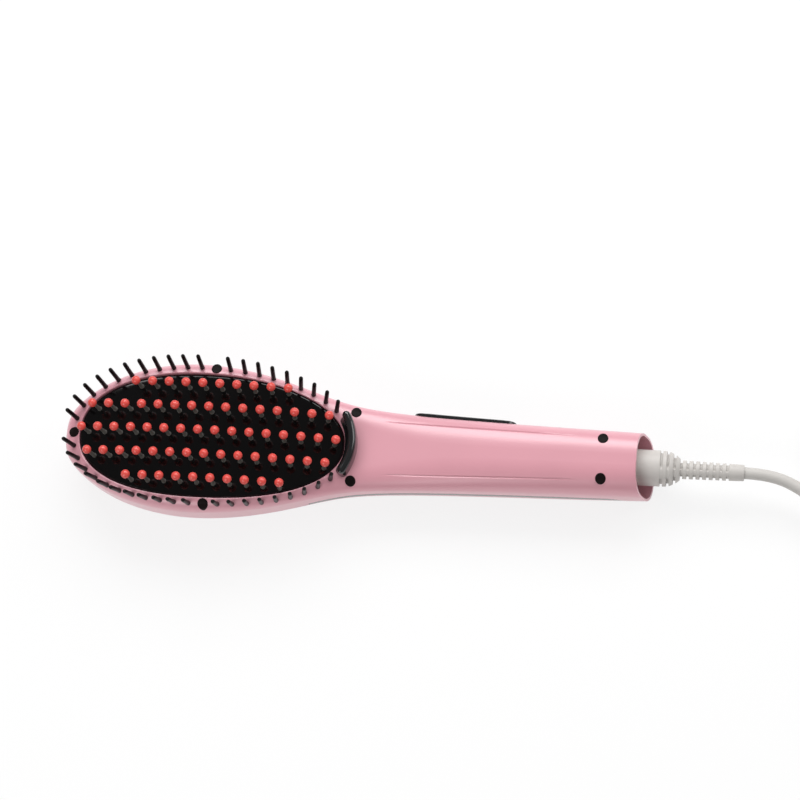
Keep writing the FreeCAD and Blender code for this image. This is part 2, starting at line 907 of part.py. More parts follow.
# Casing screws in the bosses, and the plugs that cover them
casing_screws = []
plugs = []
for place, top in zip(screw_places, screw_tops):
    seat = top - screw_drop
    head_seat = V(place[0], place[1], seat)
    casing_screws.append(screw(head_seat, -UP, seat - screw_foot - seat_gap))
    body = faceted_rod(plug_sides, ((0, plug_radius), (overrun, plug_radius)))
    plugs.append(aimed(body, V(place[0], place[1], top - plug_depth), UP))
keep("casing_screws", group(casing_screws))
keep("screw_plugs", group(group(plugs).common(casing).Solids))


# Display lens, display and main board
def display_lens():
    lens = prism(lens_wire(0), 0, lens_thickness)
    low_edges = [edge for edge in lens.Edges if edge.BoundBox.ZMax < lens_thickness / 2]
    lens = lens.makeChamfer(lens_thickness / 3, low_edges)
    return lens.cut(lcd_block(seat_gap, -overrun, overrun))


keep("display_lens", display_lens())
keep("lcd_panel", lcd_block(0, lcd_recess, lcd_recess + lcd_thickness))
keep("lcd_case", lcd_block(lcd_rim, lcd_recess + lcd_thickness, board_low))

board_top = board_low + board_thickness
board = block(V(board_x0, -board_width / 2, board_low), V(board_x1, board_width / 2, board_top))
board_holes = [column(screw_shank_radius + boss_fit, p, board_low, board_top) for p in post_places]
keep("main_board", board.cut(board_holes))
board_screws = []
for x, y in post_places:
    seat = V(x, y, board_top)
    board_screws.append(screw(seat, -UP, board_top - back_floor - seat_gap))
keep("board_screws", group(board_screws))


# Button strip, buttons, switches and the upright button board
def side_slab(inner, outer):
    """Slab that follows the side of the handle between two offsets."""
    reach = strip_length / 2 + strip_height
    x0, x1 = strip_x - reach, strip_x + reach
    z0, z1 = parting_height - strip_height, parting_height + strip_height
    corners = [
        V(x0, side_reach(x0) + inner, z0), V(x1, side_reach(x1) + inner, z0),
        V(x1, side_reach(x1) + outer, z0), V(x0, side_reach(x0) + outer, z0),
    ]
    face = Part.Face(Part.makePolygon(corners + corners[:1]))
    return face.extrude(V(0, 0, z1 - z0))


def button_block(x, grow, inner, outer):
    whole = stadium(x, button_length + 2 * grow, button_height + 2 * grow, 0, head_half_width)
    return whole.common(side_slab(inner, outer))


button_places = {
    "minus": strip_x - button_pitch,
    "plus": strip_x,
    "power": strip_x + button_pitch,
}
button_face = strip_proud + button_proud
flange_outer = -casing_wall - free_gap
flange_inner = flange_outer - flange_thickness
side_board_face = side_reach(strip_x + strip_length / 2) - side_board_depth
switch_top = side_board_face + switch_height
plunger_top = switch_top + plunger_reach
plunger_foot = switch_top - plunger_reach

strip = stadium(strip_x, strip_length, strip_height, 0, head_half_width)
strip = strip.common(side_slab(-casing_wall, strip_proud))
windows = [button_block(x, button_gap, -overrun, overrun) for x in button_places.values()]
keep("button_strip", strip.cut(windows))


def button(x):
    cap = button_block(x, 0, flange_inner, button_face)
    flange = button_block(x, flange_margin, flange_inner, flange_outer)
    stem = rod(stem_radius, V(x, plunger_top, parting_height), V(x, side_reach(x), parting_height))
    return cap.fuse([flange, stem])


def plunger(x, radius, foot, top):
    return rod(radius, V(x, foot, parting_height), V(x, top, parting_height))


switches = []
for name, x in button_places.items():
    keep(name + "_button", button(x))
    keep(name + "_plunger", plunger(x, plunger_radius, plunger_foot, plunger_top))
    half = switch_size / 2
    case = block(
        V(x - half, side_board_face, parting_height - half),
        V(x + half, switch_top, parting_height + half),
    )
    well = plunger(x, plunger_radius + plunger_fit, plunger_foot - button_travel - free_gap, switch_top)
    switches.append(case.cut(well))
keep("button_switches", group(switches))
keep("button_board", block(
    V(strip_x - side_board_length / 2, side_board_face - board_thickness, board_top),
    V(strip_x + side_board_length / 2, side_board_face, parting_height + side_board_top),
))


# Swivel: bush in the bulkhead, spindle, slip rings and their contacts
def on_axis(x):
    return V(x, 0, handle_axis_height)


def tube(radius, bore, x0, x1):
    return rod(radius, on_axis(x0), on_axis(x1)).cut(rod(bore, on_axis(x0 - overrun), on_axis(x1 + overrun)))


bush_face = end_x - mouth_depth + bush_flange
boot_start = bush_face + free_gap
bush = tube(bush_radius, spindle_radius + spindle_fit, bulkhead_x, bush_face)
bush_lip = tube(bush_flange_radius, bush_radius - seat_gap, end_x - mouth_depth, bush_face)
keep("swivel_bush", bush.fuse(bush_lip))

spindle = tube(spindle_radius, spindle_bore, spindle_x0, boot_start + boot_socket_depth - seat_gap)
collar_x = bulkhead_x - free_gap
spindle_lip = tube(spindle_collar_radius, spindle_bore, collar_x - spindle_collar, collar_x)
keep("swivel_spindle", spindle.fuse(spindle_lip))

slip_rings = []
blades = []
end_drop = back_drop * casing_values(casing_param(spindle_x0 + block_length))[3]
block_low = parting_height - end_drop + casing_wall + seat_gap
block_top = block_low + block_height
for k in range(2):
    x = spindle_x0 + slip_ring_length / 2 + k * slip_ring_spacing
    slip_rings.append(tube(slip_ring_radius, spindle_radius + boss_fit, x, x + slip_ring_length))
    middle = x + slip_ring_length / 2
    y = slip_ring_radius + blade_gap
    blades.append(block(
        V(middle - blade_width / 2, y, block_top),
        V(middle + blade_width / 2, y + blade_thickness, handle_axis_height + blade_width),
    ))
keep("slip_rings", group(slip_rings))
keep("contact_blades", group(blades).common(cavity))
contact_block = block(
    V(spindle_x0, -block_width / 2, block_low),
    V(spindle_x0 + block_length, block_width / 2, block_top),
)
keep("contact_block", contact_block.common(cavity))


# Cord boot: collar, rings and ribs, with a socket for the spindle
def boot():
    points = [(0, boot_collar_radius), (boot_collar_length, boot_collar_radius)]
    x = boot_collar_length
    for k in range(boot_ring_count):
        radius = boot_ring_radius - k * boot_ring_groove / 2
        core = radius - boot_ring_groove
        points += [(x, radius), (x + boot_ring_width, radius), (x + boot_ring_width, core)]
        x += boot_ring_pitch
        points.append((x, core))
    x += boot_cone_length
    for k in range(boot_rib_count):
        points += [(x, boot_core_radius), (x, boot_rib_radius)]
        points += [(x + boot_rib_width, boot_rib_radius), (x + boot_rib_width, boot_core_radius)]
        x += boot_rib_pitch
    x_end = x + boot_sleeve_length
    points += [(x, boot_core_radius), (x_end, boot_core_radius)]
    turned = aimed(faceted_rod(boot_sides, points), on_axis(boot_start), ALONG)
    socket = rod(spindle_radius + boss_fit, on_axis(boot_start - overrun), on_axis(boot_start + boot_socket_depth))
    return turned.cut(socket), boot_start + x_end


boot_shape, boot_end = boot()
keep("swivel_boot", boot_shape)


# Cord: a six-sided tube along runs and tangent arcs
floor_line = cord_radius
coil_top = floor_line + coil_pitch


def route(start, steps, end_height):
    """Points of a run of cord, from its start through a table of steps."""
    change = end_height - start.z
    return [start] + [start + V(ahead, aside, change * part) for ahead, aside, part in steps]


lead_route = route(on_axis(boot_end), lead_steps, coil_top)


def arc_towards(start, heading, end):
    """Arc that leaves start along heading and ends at end."""
    chord = end - start
    span = chord.Length
    chord.normalize()
    bulge = heading - chord * heading.dot(chord)
    bulge.normalize()
    lift = span / 2 * math.tan(heading.getAngle(chord) / 2)
    return Part.Arc(start, (start + end) / 2 + bulge * lift, end)


def rounded_route(points, name):
    """Runs joined by arcs that take 0.45 of the shorter run beside each point."""
    edges = []
    at = points[0]
    radii = []
    for before, point, after in zip(points, points[1:], points[2:]):
        back = before - point
        ahead = after - point
        trim = route_trim_share * min(back.Length, ahead.Length)
        turn = math.pi - back.getAngle(ahead)
        radii.append(round(trim / math.tan(turn / 2)))
        start = point + back.normalize() * trim
        end = point + ahead.normalize() * trim
        edges += [Part.LineSegment(at, start), arc_towards(start, back * -1, end)]
        at = end
    edges.append(Part.LineSegment(at, points[-1]))
    print(name, "bend radii", radii)
    return Part.Wire([edge.toShape() for edge in edges])


def swept(wire, start, heading, name):
    """Pipe shell of a six-sided section, with its volume beside section times length."""
    corners = []
    for k in range(cord_sides):
        angle = 2 * math.pi * k / cord_sides
        corners.append(V(cord_radius * math.cos(angle), cord_radius * math.sin(angle), 0))
    section = Part.makePolygon(corners + corners[:1])
    area = Part.Face(section).Area
    section = aimed(section, start, heading)
    shape = wire.makePipeShell([section], True)
    print(name, "length", round(wire.Length, 1), "volume share", round(shape.Volume / (area * wire.Length), 4))
    return shape


lead = rounded_route(lead_route, "lead")
keep("cord_lead", swept(lead, lead_route[0], ALONG, "lead"))


# Coil: loops spiral in on the upper layer, drop in half a turn and spiral out below
def coil_path():
    at = lead_route[-1]
    heading = V(1, 0, 0)
    ahead = at + heading * 2 * cord_radius
    edges = [Part.LineSegment(at, ahead)]
    at = ahead
    inward = list(range(coil_half_turns))
    steps = [(k, 0) for k in inward] + [(coil_half_turns, -coil_pitch)]
    steps += [(k, 0) for k in reversed(inward)] + [(-1, 0)]
    for index, drop in steps:
        radius = coil_outer_radius - index * coil_pitch / 2
        left = V(-heading.y, heading.x, 0)
        end = at + left * 2 * radius + V(0, 0, drop)
        reach = (end - at).Length / 2
        middle = (at + end) / 2 + heading * reach
        edges += [arc_towards(at, heading, middle)]
        rest = (end - at).normalize()
        edges += [arc_towards(middle, rest, end)]
        at = end
        heading = heading * -1
    ahead = at + heading * 2 * cord_radius
    edges.append(Part.LineSegment(at, ahead))
    return Part.Wire([edge.toShape() for edge in edges]), ahead


def least_gap(wire):
    """Least free distance between loops, measured on points along the path."""
    points = wire.discretize(Distance=2 * cord_radius)
    skip = len(points) // (2 * coil_half_turns + 2) // 2
    gaps = []
    for k, a in enumerate(points):
        gaps += [(a - b).Length for b in points[k + skip:]]
    return min(gaps) - 2 * cord_radius


coil_wire, coil_end = coil_path()
print("coil least gap", round(least_gap(coil_wire), 2))
keep("cord_coil", swept(coil_wire, lead_route[-1], ALONG, "coil"))

tail_route = route(coil_end, tail_steps, plug_half_height)
tail = rounded_route(tail_route, "tail")
keep("cord_tail", swept(tail, tail_route[0], ALONG, "tail"))
print("cord length", round(lead.Length + coil_wire.Length + tail.Length, 1))


# Two-pin plug
def plug_section(x, half_width, half_height):
    """Eight-cornered section of the plug's body."""
    y0, z0 = tail_route[-1].y, tail_route[-1].z
    y_flat, z_flat = half_width * plug_corner_share, half_height * plug_corner_share
    corners = []
    for y, z in ((half_width, z_flat), (y_flat, half_height)):
        corners.append((y, z))
    ring = corners + [(-y, z) for y, z in reversed(corners)]
    ring += [(-y, -z) for y, z in ring]
    return [V(x, y0 + y, z0 + z) for y, z in ring]


plug_x = tail_route[-1].x
plug_shoulder = plug_x + plug_length * plug_shoulder_share
plug_face = plug_x + plug_length
keep("plug_body", triangle_skin([
    plug_section(plug_x, plug_tail_half_width, plug_tail_half_height),
    plug_section(plug_shoulder, plug_half_width, plug_half_height),
    plug_section(plug_face, plug_half_width, plug_half_height),
]))
plug_pins = []
for side in (1, -1):
    start = V(plug_face, tail_route[-1].y + side * plug_pin_spacing / 2, plug_half_height)
    plug_pins.append(rod(plug_pin_radius, start, start + ALONG * plug_pin_length))
keep("plug_pins", group(plug_pins))
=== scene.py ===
from math import acos, asin, copysign, cos, hypot, pi, radians, sin, sqrt, tan

import bmesh
import bpy
import numpy as np
from mathutils import Matrix, Vector


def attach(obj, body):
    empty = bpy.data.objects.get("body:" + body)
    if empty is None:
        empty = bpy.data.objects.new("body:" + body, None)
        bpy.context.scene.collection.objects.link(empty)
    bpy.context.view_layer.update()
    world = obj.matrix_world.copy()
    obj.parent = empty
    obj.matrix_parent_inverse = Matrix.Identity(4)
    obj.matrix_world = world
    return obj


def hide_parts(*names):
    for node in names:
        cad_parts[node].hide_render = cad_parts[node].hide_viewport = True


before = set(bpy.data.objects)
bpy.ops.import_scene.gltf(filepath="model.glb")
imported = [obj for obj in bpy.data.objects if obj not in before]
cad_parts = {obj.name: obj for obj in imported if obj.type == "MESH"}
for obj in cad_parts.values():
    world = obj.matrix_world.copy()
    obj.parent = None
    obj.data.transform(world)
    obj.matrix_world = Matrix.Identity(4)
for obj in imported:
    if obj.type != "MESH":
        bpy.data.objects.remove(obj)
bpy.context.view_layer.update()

# Stage: a pale floor that is also the backdrop, under soft studio light, seen
# from the bristle side through a long lens, with the brush slightly downhill.
bpy.context.scene.view_settings.view_transform = "Standard"
toward_camera = Vector((0.12, -0.28, sqrt(1 - 0.12**2 - 0.28**2)))
flat_up = toward_camera.cross(Vector((1, 0, 0))).normalized()
flat_right = flat_up.cross(toward_camera)
downhill = 0.0524
image_right = flat_right * cos(downhill) + flat_up * sin(downhill)
image_up = flat_up * cos(downhill) - flat_right * sin(downhill)
aim_height, aim_right, aim_up = 0.015, 0.0214, 0.0242
camera_distance = 1.4


def add_object(name, data):
    """An object in the scene's own collection."""
    thing = bpy.data.objects.new(name, data)
    bpy.context.scene.collection.objects.link(thing)
    return thing


camera = add_object("camera", bpy.data.cameras.new("camera"))
camera.data.lens = 134.3
camera.data.sensor_width = 36.0
camera.data.clip_start = 0.05
camera.data.clip_end = 20.0
aim_point = Vector((0, 0, aim_height)) + image_right * aim_right + image_up * aim_up
camera.location = aim_point + toward_camera * camera_distance
camera.rotation_euler = Matrix((image_right, image_up, toward_camera)).transposed().to_euler()
bpy.context.scene.camera = camera


def soft_lamp(name, place, target, width, height, power):
    """A large soft lamp aimed at a point."""
    lamp = bpy.data.lights.new(name, "AREA")
    lamp.shape = "RECTANGLE"
    lamp.size, lamp.size_y, lamp.energy = width, height, power
    holder = add_object(name, lamp)
    holder.location = place
    aim = Vector(target) - Vector(place)
    holder.rotation_euler = aim.to_track_quat("-Z", "Y").to_euler()


soft_lamp("sky_lamp", (-0.1, 0.92, 0.85), (0, 0, 0), 1.4, 0.6, 15.0)
soft_lamp("side_lamp", (0.9, 0.5, 0.7), (0.05, 0, 0.02), 0.5, 0.8, 3.6)
soft_lamp("front_lamp", (-0.5, -0.9, 0.7), (0, 0, 0.02), 0.9, 0.5, 4.6)


def add_node(tree, kind, values=(), **settings):
    """A node with its settings, whose inputs take values or other nodes' outputs; gives its outputs."""
    node = tree.nodes.new(kind)
    for name, value in settings.items():
        setattr(node, name, value)
    for socket, value in dict(values).items():
        if isinstance(value, bpy.types.NodeSocket):
            tree.links.new(value, node.inputs[socket])
        else:
            node.inputs[socket].default_value = value
    return node.outputs


world = bpy.data.worlds.new("studio")
bpy.context.scene.world = world
world.use_nodes = True
surroundings = world.node_tree.nodes["Background"].inputs
surroundings["Color"].default_value = (1.0, 1.0, 1.0, 1)
mirrored = add_node(world.node_tree, "ShaderNodeLightPath")["Is Glossy Ray"]
dimming = {"Value": mirrored, "To Min": 0.42, "To Max": 0.12}
dimmed = add_node(world.node_tree, "ShaderNodeMapRange", dimming)["Result"]
world.node_tree.links.new(dimmed, surroundings["Strength"])


def fresh_material(name):
    """A material and its empty tree."""
    material = bpy.data.materials.new(name)
    material.use_nodes = True
    material.node_tree.nodes.clear()
    return material, material.node_tree


floor_white, tree = fresh_material("floor_white")
matte = add_node(tree, "ShaderNodeBsdfDiffuse", {"Color": (0.86, 0.86, 0.86, 1)})
glow = add_node(tree, "ShaderNodeEmission", {"Color": (1, 1, 1, 1), "Strength": 1.0})
rays = add_node(tree, "ShaderNodeLightPath")
indirect = {0: rays["Is Glossy Ray"], 1: rays["Is Transmission Ray"]}
mirrored = add_node(tree, "ShaderNodeMath", indirect, operation="ADD")
sight = {0: rays["Is Camera Ray"], 1: mirrored[0]}
seen = add_node(tree, "ShaderNodeMath", sight, operation="ADD", use_clamp=True)
glow_share = add_node(tree, "ShaderNodeMath", {0: seen[0], 1: 0.8}, operation="MULTIPLY")
mix = add_node(tree, "ShaderNodeMixShader", {"Fac": glow_share[0], 1: matte[0], 2: glow[0]})
add_node(tree, "ShaderNodeOutputMaterial", {"Surface": mix[0]})
floor_reach = 6.0
floor_corners = [(sx * floor_reach, sy * floor_reach, 0) for sx, sy in ((-1, -1), (1, -1), (1, 1), (-1, 1))]


def add_piece(name, points, faces, material):
    """A mesh piece at the origin, with its place in its points."""
    mesh = bpy.data.meshes.new(name)
    mesh.from_pydata([tuple(point) for point in points], [], faces)
    mesh.materials.append(material)
    return add_object(name, mesh)


floor = add_piece("floor", floor_corners, [(0, 1, 2, 3)], floor_white)


# Cord: a round rubber-sheathed lead moulded into the swivel boot. What the
# picture doesn't show lies in a neat two-layer coil beyond the handle.
def add_sockets(group, in_out, kinds):
    """Named sockets on one side of a node group."""
    for name, kind in kinds.items():
        group.interface.new_socket(name, in_out=in_out, socket_type="NodeSocket" + kind)


moulding = bpy.data.node_groups.new("moulded_surface", "ShaderNodeTree")
add_sockets(moulding, "INPUT", {"Colour": "Color", "Scale": "Float"})
add_sockets(moulding, "OUTPUT", {"Colour": "Color", "Roughness": "Float", "Height": "Float"})
given = add_node(moulding, "NodeGroupInput")
place = add_node(moulding, "ShaderNodeTexCoord")["Object"]
cloudy = {"Vector": place, "Scale": 28.0, "Detail": 3.0}
cloud = add_node(moulding, "ShaderNodeTexNoise", cloudy)["Fac"]
grainy = {"Vector": place, "Scale": given["Scale"], "Detail": 2.0}
grain = add_node(moulding, "ShaderNodeTexNoise", grainy)["Fac"]
shift = add_node(moulding, "ShaderNodeMapRange", {"Value": cloud, "To Min": 0.94, "To Max": 1.05})
gloss = add_node(moulding, "ShaderNodeMapRange", {"Value": grain, "To Min": 0.75, "To Max": 1.25})
blend = {"Factor": 1.0, "A": given["Colour"], "B": shift["Result"]}
tint = add_node(moulding, "ShaderNodeMix", blend, data_type="RGBA", blend_type="MULTIPLY")
made = {"Colour": tint["Result"], "Roughness": gloss["Result"], "Height": grain}
add_node(moulding, "NodeGroupOutput", made)


def moulded_material(
    name, colour, roughness, grain_scale, grain_depth, grain_height=0.0002,
    coat=0.0, coat_roughness=0.06, metallic=0.0, specular=0.5,
):
    """A plain finish with cloudy colour, uneven gloss and a fine grain."""
    material, tree = fresh_material(name)
    look = {"Colour": (*colour, 1), "Scale": grain_scale}
    surface = add_node(tree, "ShaderNodeGroup", look, node_tree=moulding)
    gloss = {0: surface["Roughness"], 1: roughness}
    relief = {"Height": surface["Height"], "Strength": grain_depth, "Distance": grain_height}
    finish = {
        "Base Color": surface["Colour"], "Metallic": metallic, "Specular IOR Level": specular,
        "Roughness": add_node(tree, "ShaderNodeMath", gloss, operation="MULTIPLY")[0],
        "Normal": add_node(tree, "ShaderNodeBump", relief)["Normal"],
        "Coat Weight": coat, "Coat Roughness": coat_roughness,
    }
    shader = add_node(tree, "ShaderNodeBsdfPrincipled", finish)
    add_node(tree, "ShaderNodeOutputMaterial", {"Surface": shader[0]})
    return material


cord_grey = moulded_material("cord_grey", (0.52, 0.50, 0.475), 0.55, 900.0, 0.15)
cord_radius = 0.0028
exit_point = (0.1820, 0.0, 0.0146)
lead_points = [
    exit_point, (0.1950, 0, 0.0146), (0.2110, -0.0070, 0.0132), (0.2260, -0.0195, 0.0106),
    (0.2390, -0.0270, 0.0090), (0.2540, -0.0270, 0.0090),
]
coil_start = Vector((0.2596, -0.0270, 0.0090))
coil_outer, coil_pitch, turns_in = 0.044, 0.0062, 6
points_per_half_turn = 8
rounding = (3 + cos(pi / points_per_half_turn)) / 4
coil_points = []
at, heading = coil_start.copy(), 1
half_turns = [(k, 0) for k in range(turns_in)] + [(turns_in, -coil_pitch)]
half_turns += [(k, 0) for k in reversed(range(turns_in))] + [(-1, 0)]
for index, drop in half_turns:
    radius = coil_outer - index * coil_pitch / 2
    for k in range(points_per_half_turn):
        share_done = (k + 0.5) / points_per_half_turn
        angle = pi * share_done
        out = radius * sin(angle) / rounding * heading
        side = radius * heading * (1 - cos(angle) / rounding)
        coil_points.append((at.x + out, at.y + side, at.z + drop * share_done))
    at = at + Vector((0, 2 * radius * heading, drop))
    heading = -heading
tail_start = at + Vector((0.0056, 0, 0))
tail_steps = (
    (0, 0, 0), (0.0128, 0, 0), (0.0268, 0.0046, 0.0011),
    (0.0428, 0.0142, 0.0041), (0.0598, 0.0142, 0.0041),
)
route = lead_points + coil_points + [tuple(tail_start + Vector(step)) for step in tail_steps]
cord_curve = bpy.data.curves.new("cord", "CURVE")
cord_curve.dimensions = "3D"
cord_curve.bevel_depth = cord_radius
cord_curve.bevel_resolution = 5
cord_curve.use_fill_caps = True
line = cord_curve.splines.new("NURBS")
line.points.add(len(route) - 1)
for point, spot in zip(line.points, route):
    point.co = (*spot, 1)
line.order_u = 3
line.use_endpoint_u = True
line.resolution_u = 6
cord_curve.materials.append(cord_grey)
cord = add_object("cord", cord_curve)


# Plug: a moulded two-pole plug with a waisted grip on the end of the cord,
# and two nickel-plated round pins set in its face.
def rounded_shading(piece, degrees):
    """Smooth shading with crisp edges above an angle."""
    mesh = piece.data
    mesh.polygons.foreach_set("use_smooth", [True] * len(mesh.polygons))
    mesh.set_sharp_from_angle(angle=radians(degrees))
    return piece


def skin(name, rings, material, hoop=False):
    """Skin through rings of equally many points, capped at both ends or closed to a hoop."""
    count = len(rings[0])
    points = [point for ring in rings for point in ring]
    faces = [] if hoop else [tuple(reversed(range(count)))]
    for r in range(len(rings) if hoop else len(rings) - 1):
        here, there = r * count, (r + 1) % len(rings) * count
        for k in range(count):
            after = (k + 1) % count
            faces.append((here + k, here + after, there + after, there + k))
    if not hoop:
        faces.append(tuple(range(len(points) - count, len(points))))
    piece = add_piece(name, points, faces, material)
    work = bmesh.new()
    work.from_mesh(piece.data)
    bmesh.ops.remove_doubles(work, verts=work.verts, dist=1e-7)
    bmesh.ops.recalc_face_normals(work, faces=work.faces)
    work.to_mesh(piece.data)
    work.free()
    return piece


def round_steps(count):
    """Cosine and sine at equal steps round a circle."""
    angles = [2 * pi * k / count for k in range(count)]
    return [(cos(angle), sin(angle)) for angle in angles]


boot_grey = moulded_material("boot_grey", (0.53, 0.505, 0.48), 0.5, 700.0, 0.18)
plug_start = Vector((0.3250, -0.0190, 0.0069))
plug_length, plug_sides = 0.0360, 48
# along, half width, half height, squareness
plug_stations = (
    (0.0000, 0.0044, 0.0036, 2.0), (0.0004, 0.0052, 0.0042, 2.0), (0.0040, 0.0060, 0.0047, 2.1),
    (0.0042, 0.0052, 0.0042, 2.1), (0.0056, 0.0052, 0.0042, 2.1), (0.0058, 0.0066, 0.0050, 2.2),
    (0.0076, 0.0072, 0.0053, 2.2), (0.0078, 0.0063, 0.0046, 2.2), (0.0092, 0.0064, 0.0046, 2.2),
    (0.0094, 0.0080, 0.0056, 2.3), (0.0112, 0.0088, 0.0058, 2.4), (0.0140, 0.0110, 0.0062, 2.6),
    (0.0175, 0.0150, 0.0067, 3.0), (0.0200, 0.0167, 0.0069, 3.4), (0.0230, 0.0174, 0.0069, 3.6),
    (0.0330, 0.0176, 0.0069, 3.8), (0.0346, 0.0175, 0.0068, 3.8), (0.0356, 0.0170, 0.0065, 3.6),
    (plug_length, 0.0163, 0.0060, 3.4), (plug_length, 0.0080, 0.0030, 3.0),
)


def swollen(share, power):
    """A cosine or sine whose circle is swollen towards a square."""
    return copysign(abs(share) ** power, share)


plug_rings = []
for along, half_width, half_height, square in plug_stations:
    ring = []
    for c, s in round_steps(plug_sides):
        y, z = half_width * swollen(c, 2 / square), half_height * swollen(s, 2 / square)
        ring.append(plug_start + Vector((along, y, z)))
    plug_rings.append(ring)
plug = rounded_shading(skin("plug", plug_rings, boot_grey), 40)
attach(plug, "brush")
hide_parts("plug_body")


def turned(name, axis_start, direction, profile, sides, material):
    """A piece turned on a lathe; the profile holds (distance along, radius)."""
    direction = Vector(direction).normalized()
    across = direction.orthogonal().normalized()
    other = direction.cross(across)
    rings = []
    for along, radius in profile:
        centre = Vector(axis_start) + direction * along
        rings.append([centre + (across * c + other * s) * radius for c, s in round_steps(sides)])
    return skin(name, rings, material)


def joined(name, pieces):
    """One piece from several, which are used up."""
    work = bmesh.new()
    for piece in pieces:
        work.from_mesh(piece.data)
    whole = add_piece(name, [], [], pieces[0].data.materials[0])
    work.to_mesh(whole.data)
    work.free()
    for piece in pieces:
        bpy.data.objects.remove(piece)
    return whole


def brushed_metal(name, colour, roughness, grain_scale):
    """Bare or plated metal with slightly uneven gloss."""
    return moulded_material(name, colour, roughness, grain_scale, 0.08, 0.0001, metallic=1.0)


pin_nickel = brushed_metal("pin_nickel", (0.74, 0.72, 0.68), 0.24, 1500.0)
contact_spacing, contact_sides = 0.0186, 28
contact_profile = (
    (0.0000, 0.0020), (0.0172, 0.0020), (0.0180, 0.00192),
    (0.0186, 0.00165), (0.0189, 0.00125), (0.0190, 0.0007),
)
studs = []
for side in (1, -1):
    foot = plug_start + Vector((plug_length, side * contact_spacing / 2, 0))
    studs.append(turned("plug_pin", foot, (1, 0, 0), contact_profile, contact_sides, pin_nickel))
plug_pins = rounded_shading(joined("plug_pins_polished", studs), 45)
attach(plug_pins, "brush")
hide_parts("plug_pins")

# Cord tie: a strap of black hook-and-loop tape that holds the coil's turns
# together on one side, pulled tight and lapped over itself on top.
tie_black = moulded_material("tie_black", (0.022, 0.022, 0.024), 0.8, 2200.0, 0.4, specular=0.25)
tie_width, tie_thickness, tie_room, tie_corner_steps = 0.009, 0.0009, 0.0002, 8
turns_inside = coil_outer - turns_in * coil_pitch / 2 - cord_radius
turns_outside = coil_outer + cord_radius
tie_x = coil_start.x + (turns_inside + turns_outside) / 2
tie_y = coil_start.y + coil_outer
tie_half = (turns_outside - turns_inside) / 2 + tie_room
tie_top = coil_start.z + cord_radius + tie_room
near_edge, far_edge = tie_y - tie_width / 2, tie_y + tie_width / 2
# right or left of the turns, height of the strap's run, above or below them
tie_corners = ((1, tie_top, 1), (-1, tie_top, 1), (-1, tie_thickness, -1), (1, tie_thickness, -1))


def arc(x, y, radius, start, sweep, steps):
    """Points along an arc round a place, from a start angle over a sweep."""
    angles = [start + sweep * k / steps for k in range(steps + 1)]
    return [(x + radius * cos(angle), y + radius * sin(angle)) for angle in angles]


tie_rings = []
for grow, y in ((0, near_edge), (tie_thickness, near_edge), (tie_thickness, far_edge), (0, far_edge)):
    ring = []
    for quarter, (right, level, up) in enumerate(tie_corners):
        x, z = tie_x + right * (tie_half - cord_radius), level - up * cord_radius
        ring += arc(x, z, cord_radius + grow, pi / 2 * quarter, pi / 2, tie_corner_steps)
    tie_rings.append([(x, y, z) for x, z in ring])
lap_rings = []
for along, thin in ((-0.0055, 0.6), (-0.0048, 1.0), (0.0062, 1.0), (0.0068, 0.5)):
    lap_top = tie_top + tie_thickness * (1 + thin)
    corners = ((near_edge, tie_top), (far_edge, tie_top), (far_edge, lap_top), (near_edge, lap_top))
    lap_rings.append([(tie_x + along, y, z) for y, z in corners])
strap = skin("strap", tie_rings, tie_black, hoop=True)
cord_tie = rounded_shading(joined("cord_tie", [strap, skin("lap", lap_rings, tie_black)]), 35)
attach(cord_tie, "brush")
# the cord itself, with what hangs on it
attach(cord, "brush")
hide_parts("cord_lead", "cord_coil", "cord_tail")

# Back shell: the moulded rear half of the casing, with the dome of the head,
# a shallow bed for the display window and a rounded end. Pink semi-gloss plastic.
casing_length, head_half_width = 0.275, 0.036
parting_height, front_rise, back_drop, casing_wall = 0.0155, 0.0145, 0.0155, 0.0022
rim_fullness, dome_fullness = 0.8, 0.72
tip_x, end_x = -casing_length / 2, casing_length / 2
# station, half width, front rise, back drop, then front and back corner shares
casing_table = np.array((
    (0.0000, 0.000, 0.000, 0.000, 0.62, 0.70, 0.80, 0.80),
    (0.0051, 0.256, 0.345, 0.226, 0.62, 0.70, 0.80, 0.80),
    (0.0236, 0.450, 0.538, 0.445, 0.42, 0.66, 0.80, 0.85),
    (0.0545, 0.633, 0.697, 0.652, 0.31, 0.60, 0.80, 0.90),
    (0.1018, 0.822, 0.828, 0.845, 0.24, 0.55, 0.80, 0.92),
    (0.1673, 0.958, 0.952, 0.968, 0.205, 0.50, 0.80, 0.92),
    (0.2400, 1.000, 1.000, 1.000, 0.20, 0.50, 0.78, 0.92),
    (0.3200, 0.939, 0.945, 0.990, 0.21, 0.50, 0.68, 0.90),
    (0.4000, 0.792, 0.793, 0.976, 0.26, 0.55, 0.54, 0.86),
    (0.4800, 0.614, 0.640, 0.968, 0.40, 0.66, 0.43, 0.80),
    (0.5564, 0.531, 0.610, 0.968, 0.60, 0.76, 0.37, 0.76),
    (0.6327, 0.496, 0.672, 0.968, 0.76, 0.83, 0.35, 0.75),
    (0.7127, 0.474, 0.755, 0.968, 0.81, 0.86, 0.35, 0.75),
    (0.7927, 0.457, 0.810, 0.968, 0.82, 0.87, 0.37, 0.76),
    (0.8727, 0.444, 0.845, 0.965, 0.82, 0.87, 0.42, 0.78),
    (0.9455, 0.433, 0.862, 0.955, 0.82, 0.87, 0.55, 0.82),
    (1.0000, 0.425, 0.870, 0.930, 0.82, 0.87, 0.70, 0.86),
))
spans = len(casing_table) - 1
bends = 4 * np.eye(spans + 1) + np.eye(spans + 1, k=1) + np.eye(spans + 1, k=-1)
bends[0, 0] = bends[-1, -1] = 2
pulls = np.zeros_like(casing_table)
